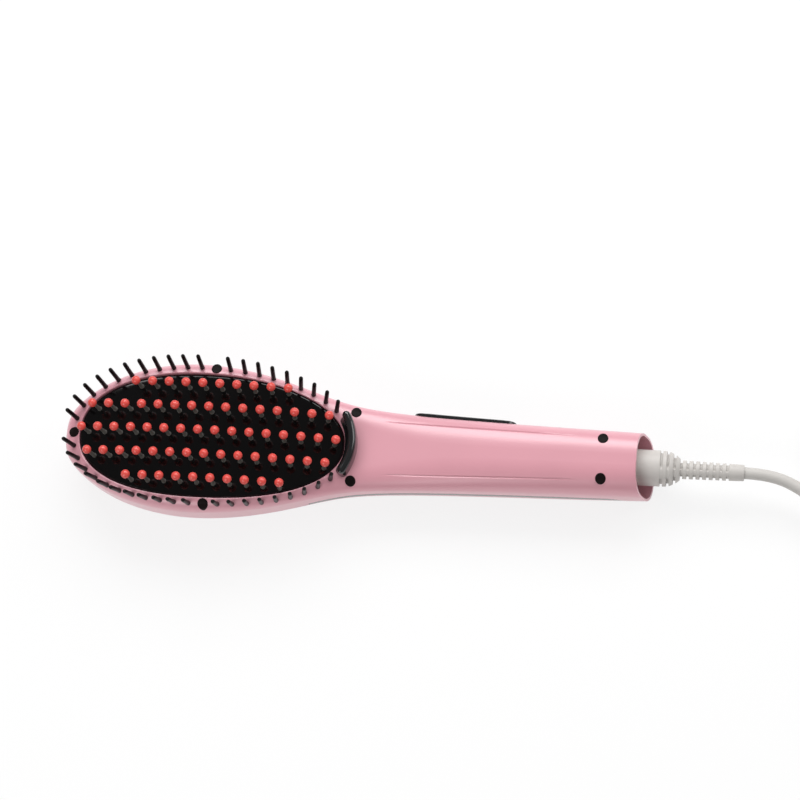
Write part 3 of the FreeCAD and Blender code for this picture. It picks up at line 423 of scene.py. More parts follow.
pulls[1:-1] = 6 * np.diff(casing_table, 2, axis=0)
first_slope = np.array((-11, 18, -9, 2)) @ casing_table[:4] / 6
last_slope = np.array((-2, 9, -18, 11)) @ casing_table[-4:] / 6
pulls[0] = 6 * (casing_table[1] - casing_table[0] - first_slope)
pulls[-1] = 6 * (last_slope - casing_table[-1] + casing_table[-2])
curvature = np.linalg.solve(bends, pulls)


def casing_values(param):
    """The table's columns at a parameter, on smooth curves through its rows."""
    k = min(int(param), spans - 1)
    u = param - k
    v = 1 - u
    bend = (v**3 - v) * curvature[k] + (u**3 - u) * curvature[k + 1]
    return v * casing_table[k] + u * casing_table[k + 1] + bend / 6


def halved(high, falls_short, steps=40):
    """The value up to which a test holds, found by halving."""
    low = 0.0
    for _ in range(steps):
        middle = (low + high) / 2
        low, high = (middle, high) if falls_short(middle) else (low, middle)
    return low


def casing_param(x):
    """Parameter of the section at a place along the brush."""
    return halved(float(spans), lambda param: tip_x + casing_values(param)[0] * casing_length < x)


def side_reach(x):
    return casing_values(casing_param(x))[1] * head_half_width


def corner_weights(t, fullness):
    """Weights of start, outer corner and end at a share of a rounded corner."""
    return (1 - t) ** 2, 2 * t * (1 - t) * fullness, t**2


def surface_height(x, y, side):
    """Height of the casing at a place; side is 1 for the front and -1 for the back."""
    values = casing_values(casing_param(x))
    half, swell = values[1] * head_half_width, values[2] * front_rise
    width_share, height_share, fullness = values[4], values[5], rim_fullness
    if side < 0:
        swell = values[3] * back_drop
        width_share, height_share, fullness = values[6], values[7], dome_fullness
    flat = half * (1 - width_share)
    if abs(y) <= flat:
        return parting_height + side * swell

    def too_near(t):
        near, mid, far = corner_weights(t, fullness)
        return (mid + far) / (near + mid + far) * (half - flat) < abs(y) - flat

    weights = corner_weights(halved(1.0, too_near), fullness)
    return parting_height + side * swell * (1 - weights[2] / sum(weights) * height_share)


def front_height(x, y):
    return surface_height(x, y, 1)


def surface_normal(x, y, side, reach=0.0012):
    slope_x = (surface_height(x + reach, y, side) - surface_height(x - reach, y, side)) / (2 * reach)
    slope_y = (surface_height(x, y + reach, side) - surface_height(x, y - reach, side)) / (2 * reach)
    return Vector((-slope_x, -slope_y, 1)).normalized() * side


def casing_ring(param, inset, fine, side_fine=4):
    """Section of the casing as a ring; fine is its points per corner, side_fine per upright side."""
    station, half, rise, drop, front_w, front_h, back_w, back_h = casing_values(param)
    x = tip_x + station * casing_length + inset * (1 - station)
    half = half * head_half_width - inset
    top = parting_height + rise * front_rise - inset
    low = parting_height - drop * back_drop + inset
    shoulder = top - front_h * (top - parting_height)
    hip = low + back_h * (parting_height - low)
    front_half, back_half = half * (1 - front_w), half * (1 - back_w)

    def run(start, end, count):
        return [tuple(a + (b - a) * k / count for a, b in zip(start, end)) for k in range(count)]

    def corner(start, outer, end, fullness, count):
        points = []
        for k in range(count):
            weights = corner_weights(k / count, fullness)
            points.append(np.dot(weights, (start, outer, end)) / sum(weights))
        return points

    ring = run((half, hip), (half, shoulder), side_fine)
    ring += corner((half, shoulder), (half, top), (front_half, top), rim_fullness, fine)
    ring += run((front_half, top), (-front_half, top), fine)
    ring += corner((-front_half, top), (-half, top), (-half, shoulder), rim_fullness, fine)
    ring += run((-half, shoulder), (-half, hip), side_fine)
    ring += corner((-half, hip), (-half, low), (-back_half, low), dome_fullness, 2 * fine)
    ring += run((-back_half, low), (back_half, low), fine // 2)
    ring += corner((back_half, low), (half, low), (half, hip), dome_fullness, 2 * fine)
    return [Vector((x, y, z)) for y, z in ring]


def settle(piece):
    """Turn what the modifiers make into the piece's own plain mesh."""
    graph = bpy.context.evaluated_depsgraph_get()
    mesh = bpy.data.meshes.new_from_object(piece.evaluated_get(graph))
    piece.modifiers.clear()
    piece.data = mesh
    return piece


def carve(piece, tool, operation="DIFFERENCE"):
    """Cut, keep or join with a tool, which is used up."""
    step = piece.modifiers.new("carve", "BOOLEAN")
    step.object, step.operation, step.solver = tool, operation, "EXACT"
    settle(piece)
    bpy.data.objects.remove(tool)


def even_normals(piece, degrees):
    """Smooth shading in which large faces lead, with crisp edges kept."""
    work = bmesh.new()
    work.from_mesh(piece.data)
    bmesh.ops.remove_doubles(work, verts=work.verts, dist=2e-6)
    bmesh.ops.dissolve_degenerate(work, edges=work.edges, dist=1e-6)
    work.to_mesh(piece.data)
    work.free()
    rounded_shading(piece, degrees)
    step = piece.modifiers.new("normals", "WEIGHTED_NORMAL")
    step.keep_sharp = True
    return settle(piece)


seam_level, parting_line, seam_height = 0.0122, 0.00012, 0.0024
seam_bend_radius, seam_end_margin, seam_bend_steps = 0.013, 0.006, 24
seam_start, seam_stop = tip_x + 0.429 * casing_length, end_x - seam_end_margin
side_room, end_room = 0.06, 0.03
shell_pink = moulded_material(
    "shell_pink", (0.645, 0.293, 0.348), 0.42, 1600.0, 0.05, coat=1.0, coat_roughness=0.3,
)


def seam_path(offset, start_x):
    """Side view of the seam: along the handle, then round down to the back."""
    x, z = seam_stop - seam_bend_radius, seam_level - seam_bend_radius
    bend = arc(x, z, seam_bend_radius + offset, pi / 2, -pi / 2, seam_bend_steps)
    return [(start_x, seam_level + offset)] + bend + [(seam_stop + offset, -end_room)]


def side_prism(name, outline, low, high, material):
    """A side-view outline carried across the brush from one y to another."""
    return skin(name, [[(x, y, z) for x, z in outline] for y in (low, high)], material)


def slab(outline):
    """A tool with a side-view outline, wider than the brush."""
    return side_prism("slab", outline, -side_room, side_room, shell_pink)


def below_seam(offset):
    start = tip_x - end_room
    return slab(seam_path(offset, start) + [(start, -end_room)])


def seam_slab(grow):
    half = seam_height / 2 + grow
    outer, inner = seam_path(half, seam_start - grow), seam_path(-half, seam_start - grow)
    return slab(outer + inner[::-1])


outer_fine, inner_fine, lower_lip, bulkhead_depth = 14, 10, 0.003, 0.012


def casing_core(params):
    """A tool with the room inside the casing's wall, over a run of sections."""
    return skin("core", [casing_ring(param, casing_wall, inner_fine) for param in params], shell_pink)


# one casing, from which both halves and the seam band are cut
casing_params = [0.02, 0.06, 0.12, 0.2, 0.3, 0.4, 0.5, 0.62, 0.75, 0.87]
casing_params += [1 + k / 8 for k in range(8 * 8)]
casing_params += [9 + k / 5 for k in range(7 * 5)] + [float(spans)]
casing_rings = [casing_ring(param, 0, outer_fine) for param in casing_params]
casing_rings.append([point + Vector((lower_lip, 0, 0)) for point in casing_rings[-1]])
front_shell = skin("front_cover", casing_rings, shell_pink)
seam_band = add_object("seam_trim", front_shell.data.copy())
bulkhead = casing_param(end_x - bulkhead_depth)
cavity_params = [1 + k / 3 for k in range(3 * 14) if 1 + k / 3 < bulkhead]
carve(front_shell, casing_core(cavity_params + [bulkhead]))
back_shell = add_object("back_cover", front_shell.data.copy())
carve(back_shell, below_seam(-parting_line), "INTERSECT")

axis_height, mouth_wall, mouth_depths = 0.0146, 0.0011, (0.008, 0.004, 0)
seat_radius, seat_depth, seat_sides = 0.00905, 0.03, 64


def cord_end_cuts():
    """The mouth round the swivel, which follows the handle, and the seat of the bush."""
    rings = [casing_ring(casing_param(end_x - depth), mouth_wall, inner_fine) for depth in mouth_depths]
    rings.append([point + Vector((side_room, 0, 0)) for point in rings[-1]])
    start, profile = (end_x - seat_depth, 0, axis_height), ((0, seat_radius), (seat_depth, seat_radius))
    seat = turned("seat", start, (1, 0, 0), profile, seat_sides, shell_pink)
    return [skin("mouth", rings, shell_pink), seat]


lens_start, lens_length = tip_x + 0.4647 * casing_length, 0.4469 * casing_length
lens_head_radius, lens_tail_radius, lens_thickness, bed_room = 0.0124, 0.0104, 0.0016, 0.0001


def long_oval(head, big, tail, small, per_end):
    """Two round ends and their common tangents, as (along, across) points."""
    lean, quarter = asin((big - small) / (tail - head)), pi / 2
    tail_end = arc(tail, 0, small, quarter - lean, 2 * lean - pi, per_end)
    return tail_end + arc(head, 0, big, lean - quarter, -2 * lean - pi, per_end)


def lens_outline(grow, per_end=24):
    """The long oval of the display window, as (x, y) points."""
    head, tail = lens_start + lens_head_radius, lens_start + lens_length - lens_tail_radius
    return long_oval(head, lens_head_radius + grow, tail, lens_tail_radius + grow, per_end)


def plan_prism(name, outline, low, high, material):
    """A top-view outline carried from one height to another."""
    return skin(name, [[(x, y, z) for x, y in outline] for z in (low, high)], material)


strip_x, strip_length, strip_height = tip_x + 0.6862 * casing_length, 0.048, 0.009


def stadium_outline(x, length, height, per_end=16):
    """A stadium in the side view, as (x, z) points round the parting height."""
    radius = height / 2
    half = length / 2 - radius
    outline = long_oval(x - half, radius, x + half, radius, per_end)
    return [(px, parting_height + pz) for px, pz in outline]


def strip_window():
    inner = side_reach(strip_x + strip_length / 2) - 2 * casing_wall
    outline = stadium_outline(strip_x, strip_length, strip_height)
    return side_prism("window", outline, inner, side_room, shell_pink)


lens_bed = plan_prism("bed", lens_outline(bed_room), -end_room, lens_thickness, shell_pink)
for cut in [joined("cuts", [lens_bed, strip_window()])] + cord_end_cuts() + [seam_slab(parting_line)]:
    carve(back_shell, cut)
crease_lift, crease_depth, crease_half, crease_steps = 0.0005, 0.00045, 0.0013, 48
least_fade = 0.02


def crease(path, side):
    """A fine V-groove along a path of (x, y) places on the casing, fading at its ends."""
    shares = np.linspace(0, 1, len(path))
    spots = []
    for k in range(crease_steps + 1):
        x, y = (np.interp(k / crease_steps, shares, column) for column in np.transpose(path))
        spots.append(Vector((x, y, surface_height(x, y, side))))
    rings = []
    for k, spot in enumerate(spots):
        along = (spots[min(k + 1, crease_steps)] - spots[max(k - 1, 0)]).normalized()
        out = surface_normal(spot.x, spot.y, side)
        half = along.cross(out) * crease_half
        fade = max(sin(pi * k / crease_steps), least_fade) ** 0.5
        top = spot + out * crease_lift
        rings.append([top + half, spot - out * crease_depth * fade, top - half])
    return skin("crease", rings, shell_pink)


# distance from the tip, distance from the middle
dome_path = (
    (0.0136, 0.0100), (0.0200, 0.0144), (0.0270, 0.0180),
    (0.0380, 0.0217), (0.0480, 0.0238), (0.0580, 0.0250),
)
for mirror in (1, -1):
    carve(back_shell, crease([(tip_x + x, mirror * y) for x, y in dome_path], -1))
even_normals(back_shell, 32)
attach(back_shell, "brush")
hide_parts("back_shell")

# Front shell: the bristle half, with the oval opening for the heated plate and
# the whole cord mouth. Pink semi-gloss plastic, screwed to the back shell.
plate_length, plate_half_width, plate_skew = 0.4567 * casing_length, 0.8222 * head_half_width, 0.06
plate_x = tip_x + 0.0291 * casing_length + plate_length / 2
oval_power, opening_points = 2 / 2.2, 96


def egg_outline(grow, count):
    """The egg-shaped oval of the plate, as (x, y) points."""
    points = []
    for c, s in round_steps(count):
        x = (plate_length / 2 + grow) * swollen(c, oval_power)
        y = (plate_half_width + grow) * swollen(s, oval_power)
        points.append((plate_x + x, y * (1 - plate_skew * c)))
    return points


carve(front_shell, below_seam(parting_line))
# height over the shell's surface, growth of the oval
opening_profile = (
    (-0.02, 0.0003), (-0.0010, 0.0003), (-0.0005, 0.00037), (-0.0002, 0.00055),
    (0.0, 0.0009), (0.0004, 0.0016), (0.02, 0.004),
)
opening_rings = []
for rise, grow in opening_profile:
    outline = egg_outline(grow, opening_points)
    opening_rings.append([(x, y, front_height(x, y) + rise) for x, y in outline])
carve(front_shell, skin("opening", opening_rings, shell_pink))
slope_top, slope_lean = 0.06, 0.295
slope_low, slope_far = end_x + lower_lip, end_x + end_room
slope_high = slope_low - slope_lean * slope_top
slope = slab([(slope_low, 0), (slope_high, slope_top), (slope_far, slope_top), (slope_far, 0)])
for cut in [slope, strip_window()] + cord_end_cuts() + [seam_slab(parting_line)]:
    carve(front_shell, cut)
# distance from the tip, distance from the middle
grip_path = ((0.152, 0.0128), (0.243, 0.0104))
for mirror in (1, -1):
    carve(front_shell, crease([(tip_x + x, mirror * y) for x, y in grip_path], 1))
even_normals(front_shell, 32)
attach(front_shell, "brush")
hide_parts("front_shell")


# Seam band: a polished black trim strip let in between the two shells along
# the handle, which turns down round the end of the back shell.
def repaint(piece, material):
    """Give a piece one material in place of those it has."""
    piece.data.materials.clear()
    piece.data.materials.append(material)


trim_black = moulded_material("trim_black", (0.012, 0.012, 0.013), 0.16, 1400.0, 0.03, coat=0.5)
repaint(seam_band, trim_black)
carve(seam_band, seam_slab(0), "INTERSECT")
core_params = [1 + k / 3 for k in range(3 * 15 + 1)]
for cut in [casing_core(core_params), strip_window()] + cord_end_cuts():
    carve(seam_band, cut)
even_normals(seam_band, 35)
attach(seam_band, "brush")
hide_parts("seam_band")

# Heating plate: an arched egg-shaped casting with a rounded edge, coated in
# glossy black ceramic. It is clamped over the heater from inside the head.
plate_black = moulded_material(
    "plate_black", (0.0022, 0.0018, 0.002), 0.13, 500.0, 0.02, coat=0.4, specular=0.2,
)
arch_radius, plate_step, cross_fall = 0.340, 0.0006, 0.0009
plate_crown = parting_height + front_rise - plate_step
plate_thickness, plate_points, edge_round, edge_steps = 0.0024, 120, 0.0009, 5


def arch_level(x, y=0.0, drop=0.0):
    """Height of the plate above a place: an arch that falls away a little to both sides."""
    arch = sqrt((arch_radius - drop) ** 2 - (x - plate_x) ** 2)
    return plate_crown - arch_radius + arch - cross_fall * (y / plate_half_width) ** 2


def egg_ring(grow, share, drop):
    """The plate's outline grown, drawn to its middle by a share, laid on the arch."""
    ring = []
    for x, y in egg_outline(grow, plate_points):
        x = plate_x + (x - plate_x) * share
        ring.append((x, y * share, arch_level(x, y * share, drop)))
    return ring


def quarter_round(radius, steps):
    """How far a rounded edge has left one face and has still to go to the other."""
    turns = [pi / 2 * k / steps for k in range(steps + 1)]
    return [(radius * (1 - cos(turn)), radius * (1 - sin(turn))) for turn in turns]


top_shares = (0.02, 0.12, 0.25, 0.4, 0.55, 0.7, 0.85, 0.95, 1.0)
plate_rings = [egg_ring(-edge_round, share, 0) for share in top_shares]
plate_rings += [egg_ring(-inset, 1, drop) for drop, inset in quarter_round(edge_round, edge_steps)[1:]]
plate_rings += [egg_ring(0, share, plate_thickness) for share in (1.0, 0.8, 0.5, 0.25, 0.02)]
plate = rounded_shading(skin("plate", plate_rings, plate_black), 50)
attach(plate, "brush")
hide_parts("heating_plate")

# Heating pins: 66 slim tapered metal pins in five rows, pressed into the plate
# square to its arch, so that they fan out along the brush.
planting = bpy.data.node_groups.new("planting", "GeometryNodeTree")
planting.is_modifier = True
planting_inputs = {
    "Geometry": "Geometry", "Shape": "Object", "Surface": "Material", "Sway": "Float", "Seed": "Int",
}
add_sockets(planting, "INPUT", planting_inputs)
add_sockets(planting, "OUTPUT", {"Geometry": "Geometry"})
given = add_node(planting, "NodeGroupInput")
aim = add_node(planting, "GeometryNodeInputNamedAttribute", {"Name": "aim"}, data_type="FLOAT_VECTOR")
draw = {"Min": (-1, -1, 0), "Max": (1, 1, 0), "Seed": given["Seed"]}
chance = add_node(planting, "FunctionNodeRandomValue", draw, data_type="FLOAT_VECTOR")
swing = {0: chance["Value"], "Scale": given["Sway"]}
sway = add_node(planting, "ShaderNodeVectorMath", swing, operation="SCALE")
swayed = {0: aim["Attribute"], 1: sway["Vector"]}
lean_to = add_node(planting, "ShaderNodeVectorMath", swayed, operation="ADD")
stand = add_node(planting, "FunctionNodeAlignRotationToVector", {"Vector": lean_to["Vector"]}, axis="Z")
shape = add_node(planting, "GeometryNodeObjectInfo", {"Object": given["Shape"]})
spots = {"Points": given["Geometry"], "Instance": shape["Geometry"], "Rotation": stand["Rotation"]}
plants = add_node(planting, "GeometryNodeInstanceOnPoints", spots)
solid = add_node(planting, "GeometryNodeRealizeInstances", {"Geometry": plants["Instances"]})
coat = {"Geometry": solid["Geometry"], "Material": given["Surface"]}
painted = add_node(planting, "GeometryNodeSetMaterial", coat)
add_node(planting, "NodeGroupOutput", {"Geometry": painted["Geometry"]})


def planted(name, places, shape, sway=0.0, seed=7):
    """Copies of a shape, one at each (foot, direction); the shape is used up."""
    material = shape.data.materials[0]
    piece = add_piece(name, [foot for foot, _ in places], [], material)
    directions = piece.data.attributes.new("aim", "FLOAT_VECTOR", "POINT")
    directions.data.foreach_set("vector", [value for _, direction in places for value in direction])
    step = piece.modifiers.new("planting", "NODES")
    step.node_group = planting
    values = {"Shape": shape, "Surface": material, "Sway": sway, "Seed": seed}
    for item in planting.interface.items_tree:
        if item.in_out == "INPUT" and item.name in values:
            step[item.identifier] = values[item.name]
    settle(piece)
    bpy.data.objects.remove(shape)
    return piece


def arch_direction(x):
    """The plate's outward direction above a place."""
    lean = (x - plate_x) / arch_radius
    return Vector((lean, 0, sqrt(1 - lean**2)))


pin_grey = moulded_material("pin_grey", (0.115, 0.112, 0.102), 0.38, 900.0, 0.05)
row_counts, row_pitch, pin_pitch = (10, 15, 16, 15, 10), 0.0114, 0.0078
pin_places = []
for row, count in enumerate(row_counts):
    for k in range(count):
        x = plate_x + (k - (count - 1) / 2) * pin_pitch
        y = (row - (len(row_counts) - 1) / 2) * row_pitch
        pin_places.append((Vector((x, y, arch_level(x, y))), arch_direction(x)))
pin_length, pin_sink, pin_sides = 0.0089, 0.0002, 12
pin_profile = ((0, 0.0013), (0.0005, 0.00095), (0.0045, 0.00085), (pin_length, 0.00075))
pin_shape = turned("pin_shape", (0, 0, -pin_sink), (0, 0, 1), pin_profile, pin_sides, pin_grey)
pins = planted("pins", pin_places, rounded_shading(pin_shape, 60))
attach(pins, "brush")
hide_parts("heating_pins")

# Pin tips: coral balls of heatproof silicone moulded over the pins' ends, which
# keep the hot metal off the scalp. Slightly drawn out at the crown.
tip_coral = moulded_material("tip_coral", (0.70, 0.075, 0.06), 0.3, 1200.0, 0.04, coat=0.25)
tip_overlap, tip_radius, tip_steps, tip_sides = 0.0008, 0.00215, 8, 14
tip_seat = pin_length - tip_overlap
tip_profile = [(tip_seat - 0.0003, 0.00095)]
for k in range(1, tip_steps + 1):
    angle = pi * (0.14 + 0.8 * k / tip_steps)
    tip_profile.append((tip_seat + tip_radius * (0.9 - cos(angle)), tip_radius * sin(angle)))
tip_profile.append((tip_profile[-1][0] + 0.00012, 0.0002))
tip_shape = turned("tip_shape", (0, 0, 0), (0, 0, 1), tip_profile, tip_sides, tip_coral)
tips = planted("tips", pin_places, rounded_shading(tip_shape, 70))
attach(tips, "brush")
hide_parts("pin_tips")

# Rim bristles: 40 slim nylon bristles with thick collars, which stand in holes
# along the rim on a ring inside the head and fan outwards.
bristle_black = moulded_material("bristle_black", (0.004, 0.003, 0.003), 0.42, 1500.0, 0.05, specular=0.22)
rim_offset, rim_points = 0.0032, 2880
bristles_to_tip, bristles_to_handle, bristle_lean, bristle_sides = 11, 9, 9.0, 10
rim_half = egg_outline(rim_offset, rim_points)[: rim_points // 2 + 1]
rim_lengths = [0.0]
for (ax, ay), (bx, by) in zip(rim_half, rim_half[1:]):
    rim_lengths.append(rim_lengths[-1] + hypot(bx - ax, by - ay))
rim_middle = min(range(len(rim_half)), key=lambda k: abs(rim_half[k][0] - plate_x))
rim_pitch = (rim_lengths[-1] - rim_lengths[rim_middle]) / (bristles_to_tip + 1)
bristle_places = []
for k in range(-bristles_to_handle, bristles_to_tip + 1):
    if k == 0:
        continue
    x, y = rim_half[int(np.searchsorted(rim_lengths, rim_lengths[rim_middle] + k * rim_pitch))]
    for side in (1, -1):
        lean = tan(radians(bristle_lean)) * side * y / (plate_half_width + rim_offset)
        direction = (arch_direction(x) + Vector((0, lean, 0))).normalized()
        bristle_places.append((Vector((x, side * y, front_height(x, y))), direction))
bristle_profile = (
    (-0.004, 0.00118), (0.0008, 0.00118), (0.0011, 0.00114), (0.0022, 0.00106), (0.0060, 0.00103),
    (0.0110, 0.00100), (0.0127, 0.00096), (0.0133, 0.00072), (0.0136, 0.00030),
)
bristle_shape = turned("bristle_shape", (0, 0, 0), (0, 0, 1), bristle_profile, bristle_sides, bristle_black)
bristles = planted("bristles", bristle_places, rounded_shading(bristle_shape, 55), sway=0.012)
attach(bristles, "brush")
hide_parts("rim_bristles")

# Plate guard: a black crescent wall with a rounded crest, moulded on the rim at
# the handle end of the plate, where fingers come nearest to the heat.
guard_half_span, guard_sagitta, guard_thickness, guard_height = 0.0132, 0.0036, 0.0040, 0.0086
guard_gap, guard_steps, cap_steps, cap_turn = 0.0024, 36, 5, pi / 2 * 0.98
guard_radius = (guard_half_span**2 + guard_sagitta**2) / (2 * guard_sagitta)
guard_reach = asin(guard_half_span / guard_radius)
guard_crest = plate_x + plate_length / 2 + guard_gap + guard_thickness / 2
guard_top = arch_level(plate_x + plate_length / 2) + guard_height
guard_base = guard_top - guard_height
half_wall = guard_thickness / 2
# offset across the wall and height from the crest, in shares of its half thickness; None is the base
wall_profile = [(-1.0, None), (-1.0, -1.0), (-0.93, -0.62), (-0.71, -0.29), (-0.38, -0.08), (0.0, 0.0)]
wall_profile += [(-share, drop) for share, drop in wall_profile[-2::-1]]
# a flared foot on the side of the plate
wall_profile[:1] = [(-1.9, None), (-1.9, -3.5), (-1.0, -2.7)]
guard_rings = []
for k in range(-cap_steps, guard_steps + cap_steps + 1):
    along = min(max(k, 0), guard_steps)
    angle = guard_reach * (2 * along / guard_steps - 1)
    over = cap_turn * (k - along) / cap_steps
    beyond, narrow = half_wall * sin(over), cos(over)
    ring = []
    for share, drop in wall_profile:
        distance = guard_radius + share * half_wall * narrow
        level = guard_base if drop is None else guard_top + half_wall * (drop - 0.5 * (1 - narrow))
        x = guard_crest - guard_radius + distance * cos(angle) - beyond * sin(angle)
        y = distance * sin(angle) + beyond * cos(angle)
        ring.append((x, y, level))
    guard_rings.append(ring)
guard = rounded_shading(skin("guard", guard_rings, trim_black), 50)
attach(guard, "brush")
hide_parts("plate_guard")

# Casing screws: seven steel screws with pan heads that draw the front shell onto
# the bosses of the back shell; the one at the head's tip is the shortest.
screw_steel = brushed_metal("screw_steel", (0.60, 0.60, 0.59), 0.3, 1500.0)
side_y = plate_half_width + rim_offset
neck_x, neck_y = tip_x + 0.5018 * casing_length, 0.461 * head_half_width
handle_x, handle_y = tip_x + 0.9236 * casing_length, 0.2667 * head_half_width
screw_spots = [(plate_x - plate_length / 2 - rim_offset, 0)]
for x, y in ((plate_x, side_y), (neck_x, neck_y), (handle_x, handle_y)):
    screw_spots += [(x, y), (x, -y)]
head_depth, lowest_end, wall_under_screw, point_length, screw_sides = 0.0021, 0.0091, 0.0022, 0.0008, 20
screws = []
for x, y in screw_spots:
    top = front_height(x, y) - head_depth
    length = top - max(lowest_end, surface_height(x, y, -1) + wall_under_screw)
    profile = [(0, 0.0009), (0.0002, 0.0015), (0.0006, 0.0019), (0.0014, 0.0019), (0.0014, 0.0010)]
    profile += [(length - point_length, 0.0010), (length, 0.0004)]
    screws.append(turned("screw", (x, y, top), (0, 0, -1), profile, screw_sides, screw_steel))
screws = rounded_shading(joined("casing_screws_steel", screws), 40)
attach(screws, "brush")
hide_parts("casing_screws")

# Screw plugs: seven black rubber discs pressed into the upright screw holes of
# the front shell; their faces follow its surface and stand proud where it falls
# away outwards.
plug_black = moulded_material("plug_black", (0.006, 0.003, 0.003), 0.55, 1600.0, 0.1, specular=0.12)
disc_radius, disc_sides, disc_overhang = 0.00245, 28, 0.0003
# share of the radius, lift over the shell's surface
disc_profile = (
    (1.0, -0.0004), (1.0, 0.0001), (0.965, 0.00019),
    (0.87, 0.00024), (0.53, 0.00026), (0.13, 0.00026),
)
discs = []
for spot_x, spot_y in screw_spots:
    lowest = front_height(spot_x, spot_y) - disc_overhang
    disc_rings = []
    for share, lift in disc_profile:
        ring = []
        for c, s in round_steps(disc_sides):
            x, y = spot_x + share * disc_radius * c, spot_y + share * disc_radius * s
            level = front_height(x, y)
            if lift > 0:
                level = max(level, lowest)
            ring.append((x, y, level + lift))
        disc_rings.append(ring)
    discs.append(skin("disc", disc_rings, plug_black))
discs = rounded_shading(joined("plug_discs", discs), 50)
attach(discs, "brush")
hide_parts("screw_plugs")

# Display window: a long oval of tinted acrylic with a rounded rim, glued into
# its bed in the back shell, with a rectangular opening for the display.
lens_black = moulded_material("lens_black", (0.005, 0.005, 0.0055), 0.08, 300.0, 0.01, coat=1.0)
lens_round, lens_round_steps = 0.00053, 4


def lens_ring(grow, share, z):
    """The window's outline grown, drawn to its middle by a share."""
    middle = lens_start + lens_length / 2
    return [(middle + (x - middle) * share, y * share, z) for x, y in lens_outline(grow)]


lens_rings = [lens_ring(0, share, lens_thickness) for share in (0.02, 0.6, 1.0)]
lens_rings += [lens_ring(-inset, 1, z) for inset, z in quarter_round(lens_round, lens_round_steps)]
lens_rings += [lens_ring(-lens_round, share, 0) for share in (0.6, 0.02)]
lens = skin("display_window", lens_rings, lens_black)
lcd_x, lcd_half_length, lcd_half_width = tip_x + 0.5473 * casing_length, 0.0097, 0.00655
lcd_room, cut_reach = 0.0002, 0.01


def lcd_outline(grow, corner=0.0006, per_corner=5):
    """The display's rectangle with small round corners, as (x, y) points."""
    points = []
    radius = corner + max(grow, -corner * 0.8)
    shift = min(grow + corner, 0) - corner
    for quarter, (sx, sy) in enumerate(((1, 1), (-1, 1), (-1, -1), (1, -1))):
        x, y = lcd_x + sx * (lcd_half_length + shift), sy * (lcd_half_width + shift)
        points += arc(x, y, radius, pi / 2 * quarter, pi / 2, per_corner)
    return points


carve(lens, plan_prism("opening", lcd_outline(lcd_room), -cut_reach, cut_reach, lens_black))
even_normals(lens, 40)
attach(lens, "brush")
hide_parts("display_lens")

# Display: a backlit liquid-crystal panel behind the opening, with a pale line of painted
# light round its edge where it shows brighter, and plain seven-segment figures for the temperature.
lcd_blue = moulded_material("lcd_blue", (0.045, 0.12, 0.38), 0.2, 400.0, 0.01, coat=0.7)
lcd_painted_bright_rim = moulded_material("lcd_painted_bright_rim", (0.24, 0.32, 0.58), 0.25, 400.0, 0.01, coat=0.7)
lcd_ink = moulded_material("lcd_ink", (0.006, 0.022, 0.13), 0.25, 400.0, 0.01, coat=0.7)
lcd_face, lcd_depth = 0.0003, 0.003
screen = plan_prism("display_panel", lcd_outline(0), lcd_face, lcd_face + lcd_depth, lcd_blue)
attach(screen, "brush")
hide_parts("lcd_panel")
# painted light: a paler blue line round the panel's edge, where the lit display shows brighter
bright_rim_inset, bright_rim_width, bright_rim_proud, ink_proud, print_depth = 0.0001, 0.0008, 0.00006, 0.00005, 0.0001
ink_low, ink_high = lcd_face - ink_proud, lcd_face + print_depth
bright_rim_outer, bright_rim_inner = lcd_outline(-bright_rim_inset), lcd_outline(-bright_rim_inset - bright_rim_width)
painted_bright_rim = plan_prism("display_frame", bright_rim_outer, lcd_face - bright_rim_proud, ink_high, lcd_painted_bright_rim)
carve(painted_bright_rim, plan_prism("inside", bright_rim_inner, -cut_reach, cut_reach, lcd_painted_bright_rim))
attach(painted_bright_rim, "brush")
stroke, digit_width, digit_height, digit_up, bar_gap = 0.00062, 0.0026, 0.0053, -0.0002, 0.12
# segments of a figure: ends in shares of its half width and half height
segments = {
    "a": ((-1, 1), (1, 1)), "b": ((1, 1), (1, 0)), "c": ((1, 0), (1, -1)), "d": ((-1, -1), (1, -1)),
    "e": ((-1, 0), (-1, -1)), "f": ((-1, 1), (-1, 0)), "g": ((-1, 0), (1, 0)),
}
# place of each figure to the right of the display's middle, and its lit segments
digits = ((-0.0066, "bc"), (-0.0032, "abcdefg"), (0.0002, "abcdef"), (0.0062, "adef"))


def segment_bar(right, start, end):
    """One bar with pointed ends; the figures' up is towards -Y and their right is +X."""
    a = Vector((right + start[0] * digit_width / 2, digit_up + start[1] * digit_height / 2))
    b = Vector((right + end[0] * digit_width / 2, digit_up + end[1] * digit_height / 2))
    along = (b - a).normalized()
    side = Vector((-along.y, along.x)) * stroke / 2
    a, b = a + along * stroke * bar_gap, b - along * stroke * bar_gap
    inset = along * stroke / 2
    outline = (a, a + inset + side, b - inset + side, b, b - inset - side, a + inset - side)
    return plan_prism("bar", [(lcd_x + p.x, -p.y) for p in outline], ink_low, ink_high, lcd_ink)


bars = [segment_bar(right, *segments[segment]) for right, lit in digits for segment in lit]
degree_x, degree_y, degree_sides = lcd_x + 0.0032, -0.0016, 20
degree_outer, degree_inner = 0.00095, 0.00045
degree_levels = (
    (degree_outer, ink_low), (degree_outer, ink_high), (degree_inner, ink_high), (degree_inner, ink_low),
)
degree_steps = round_steps(degree_sides)
degree_rings = []
for radius, z in degree_levels:
    degree_rings.append([(degree_x + radius * c, degree_y + radius * s, z) for c, s in degree_steps])
bars.append(skin("degree", degree_rings, lcd_ink, hoop=True))
figures = joined("display_figures", bars)
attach(figures, "brush")

# Button strip: a glossy black bar let into the side of the handle over both
# shells, with three openings for the keys.
strip_proud, strip_deep, strip_edge = 0.0010, 0.0022, 0.00035


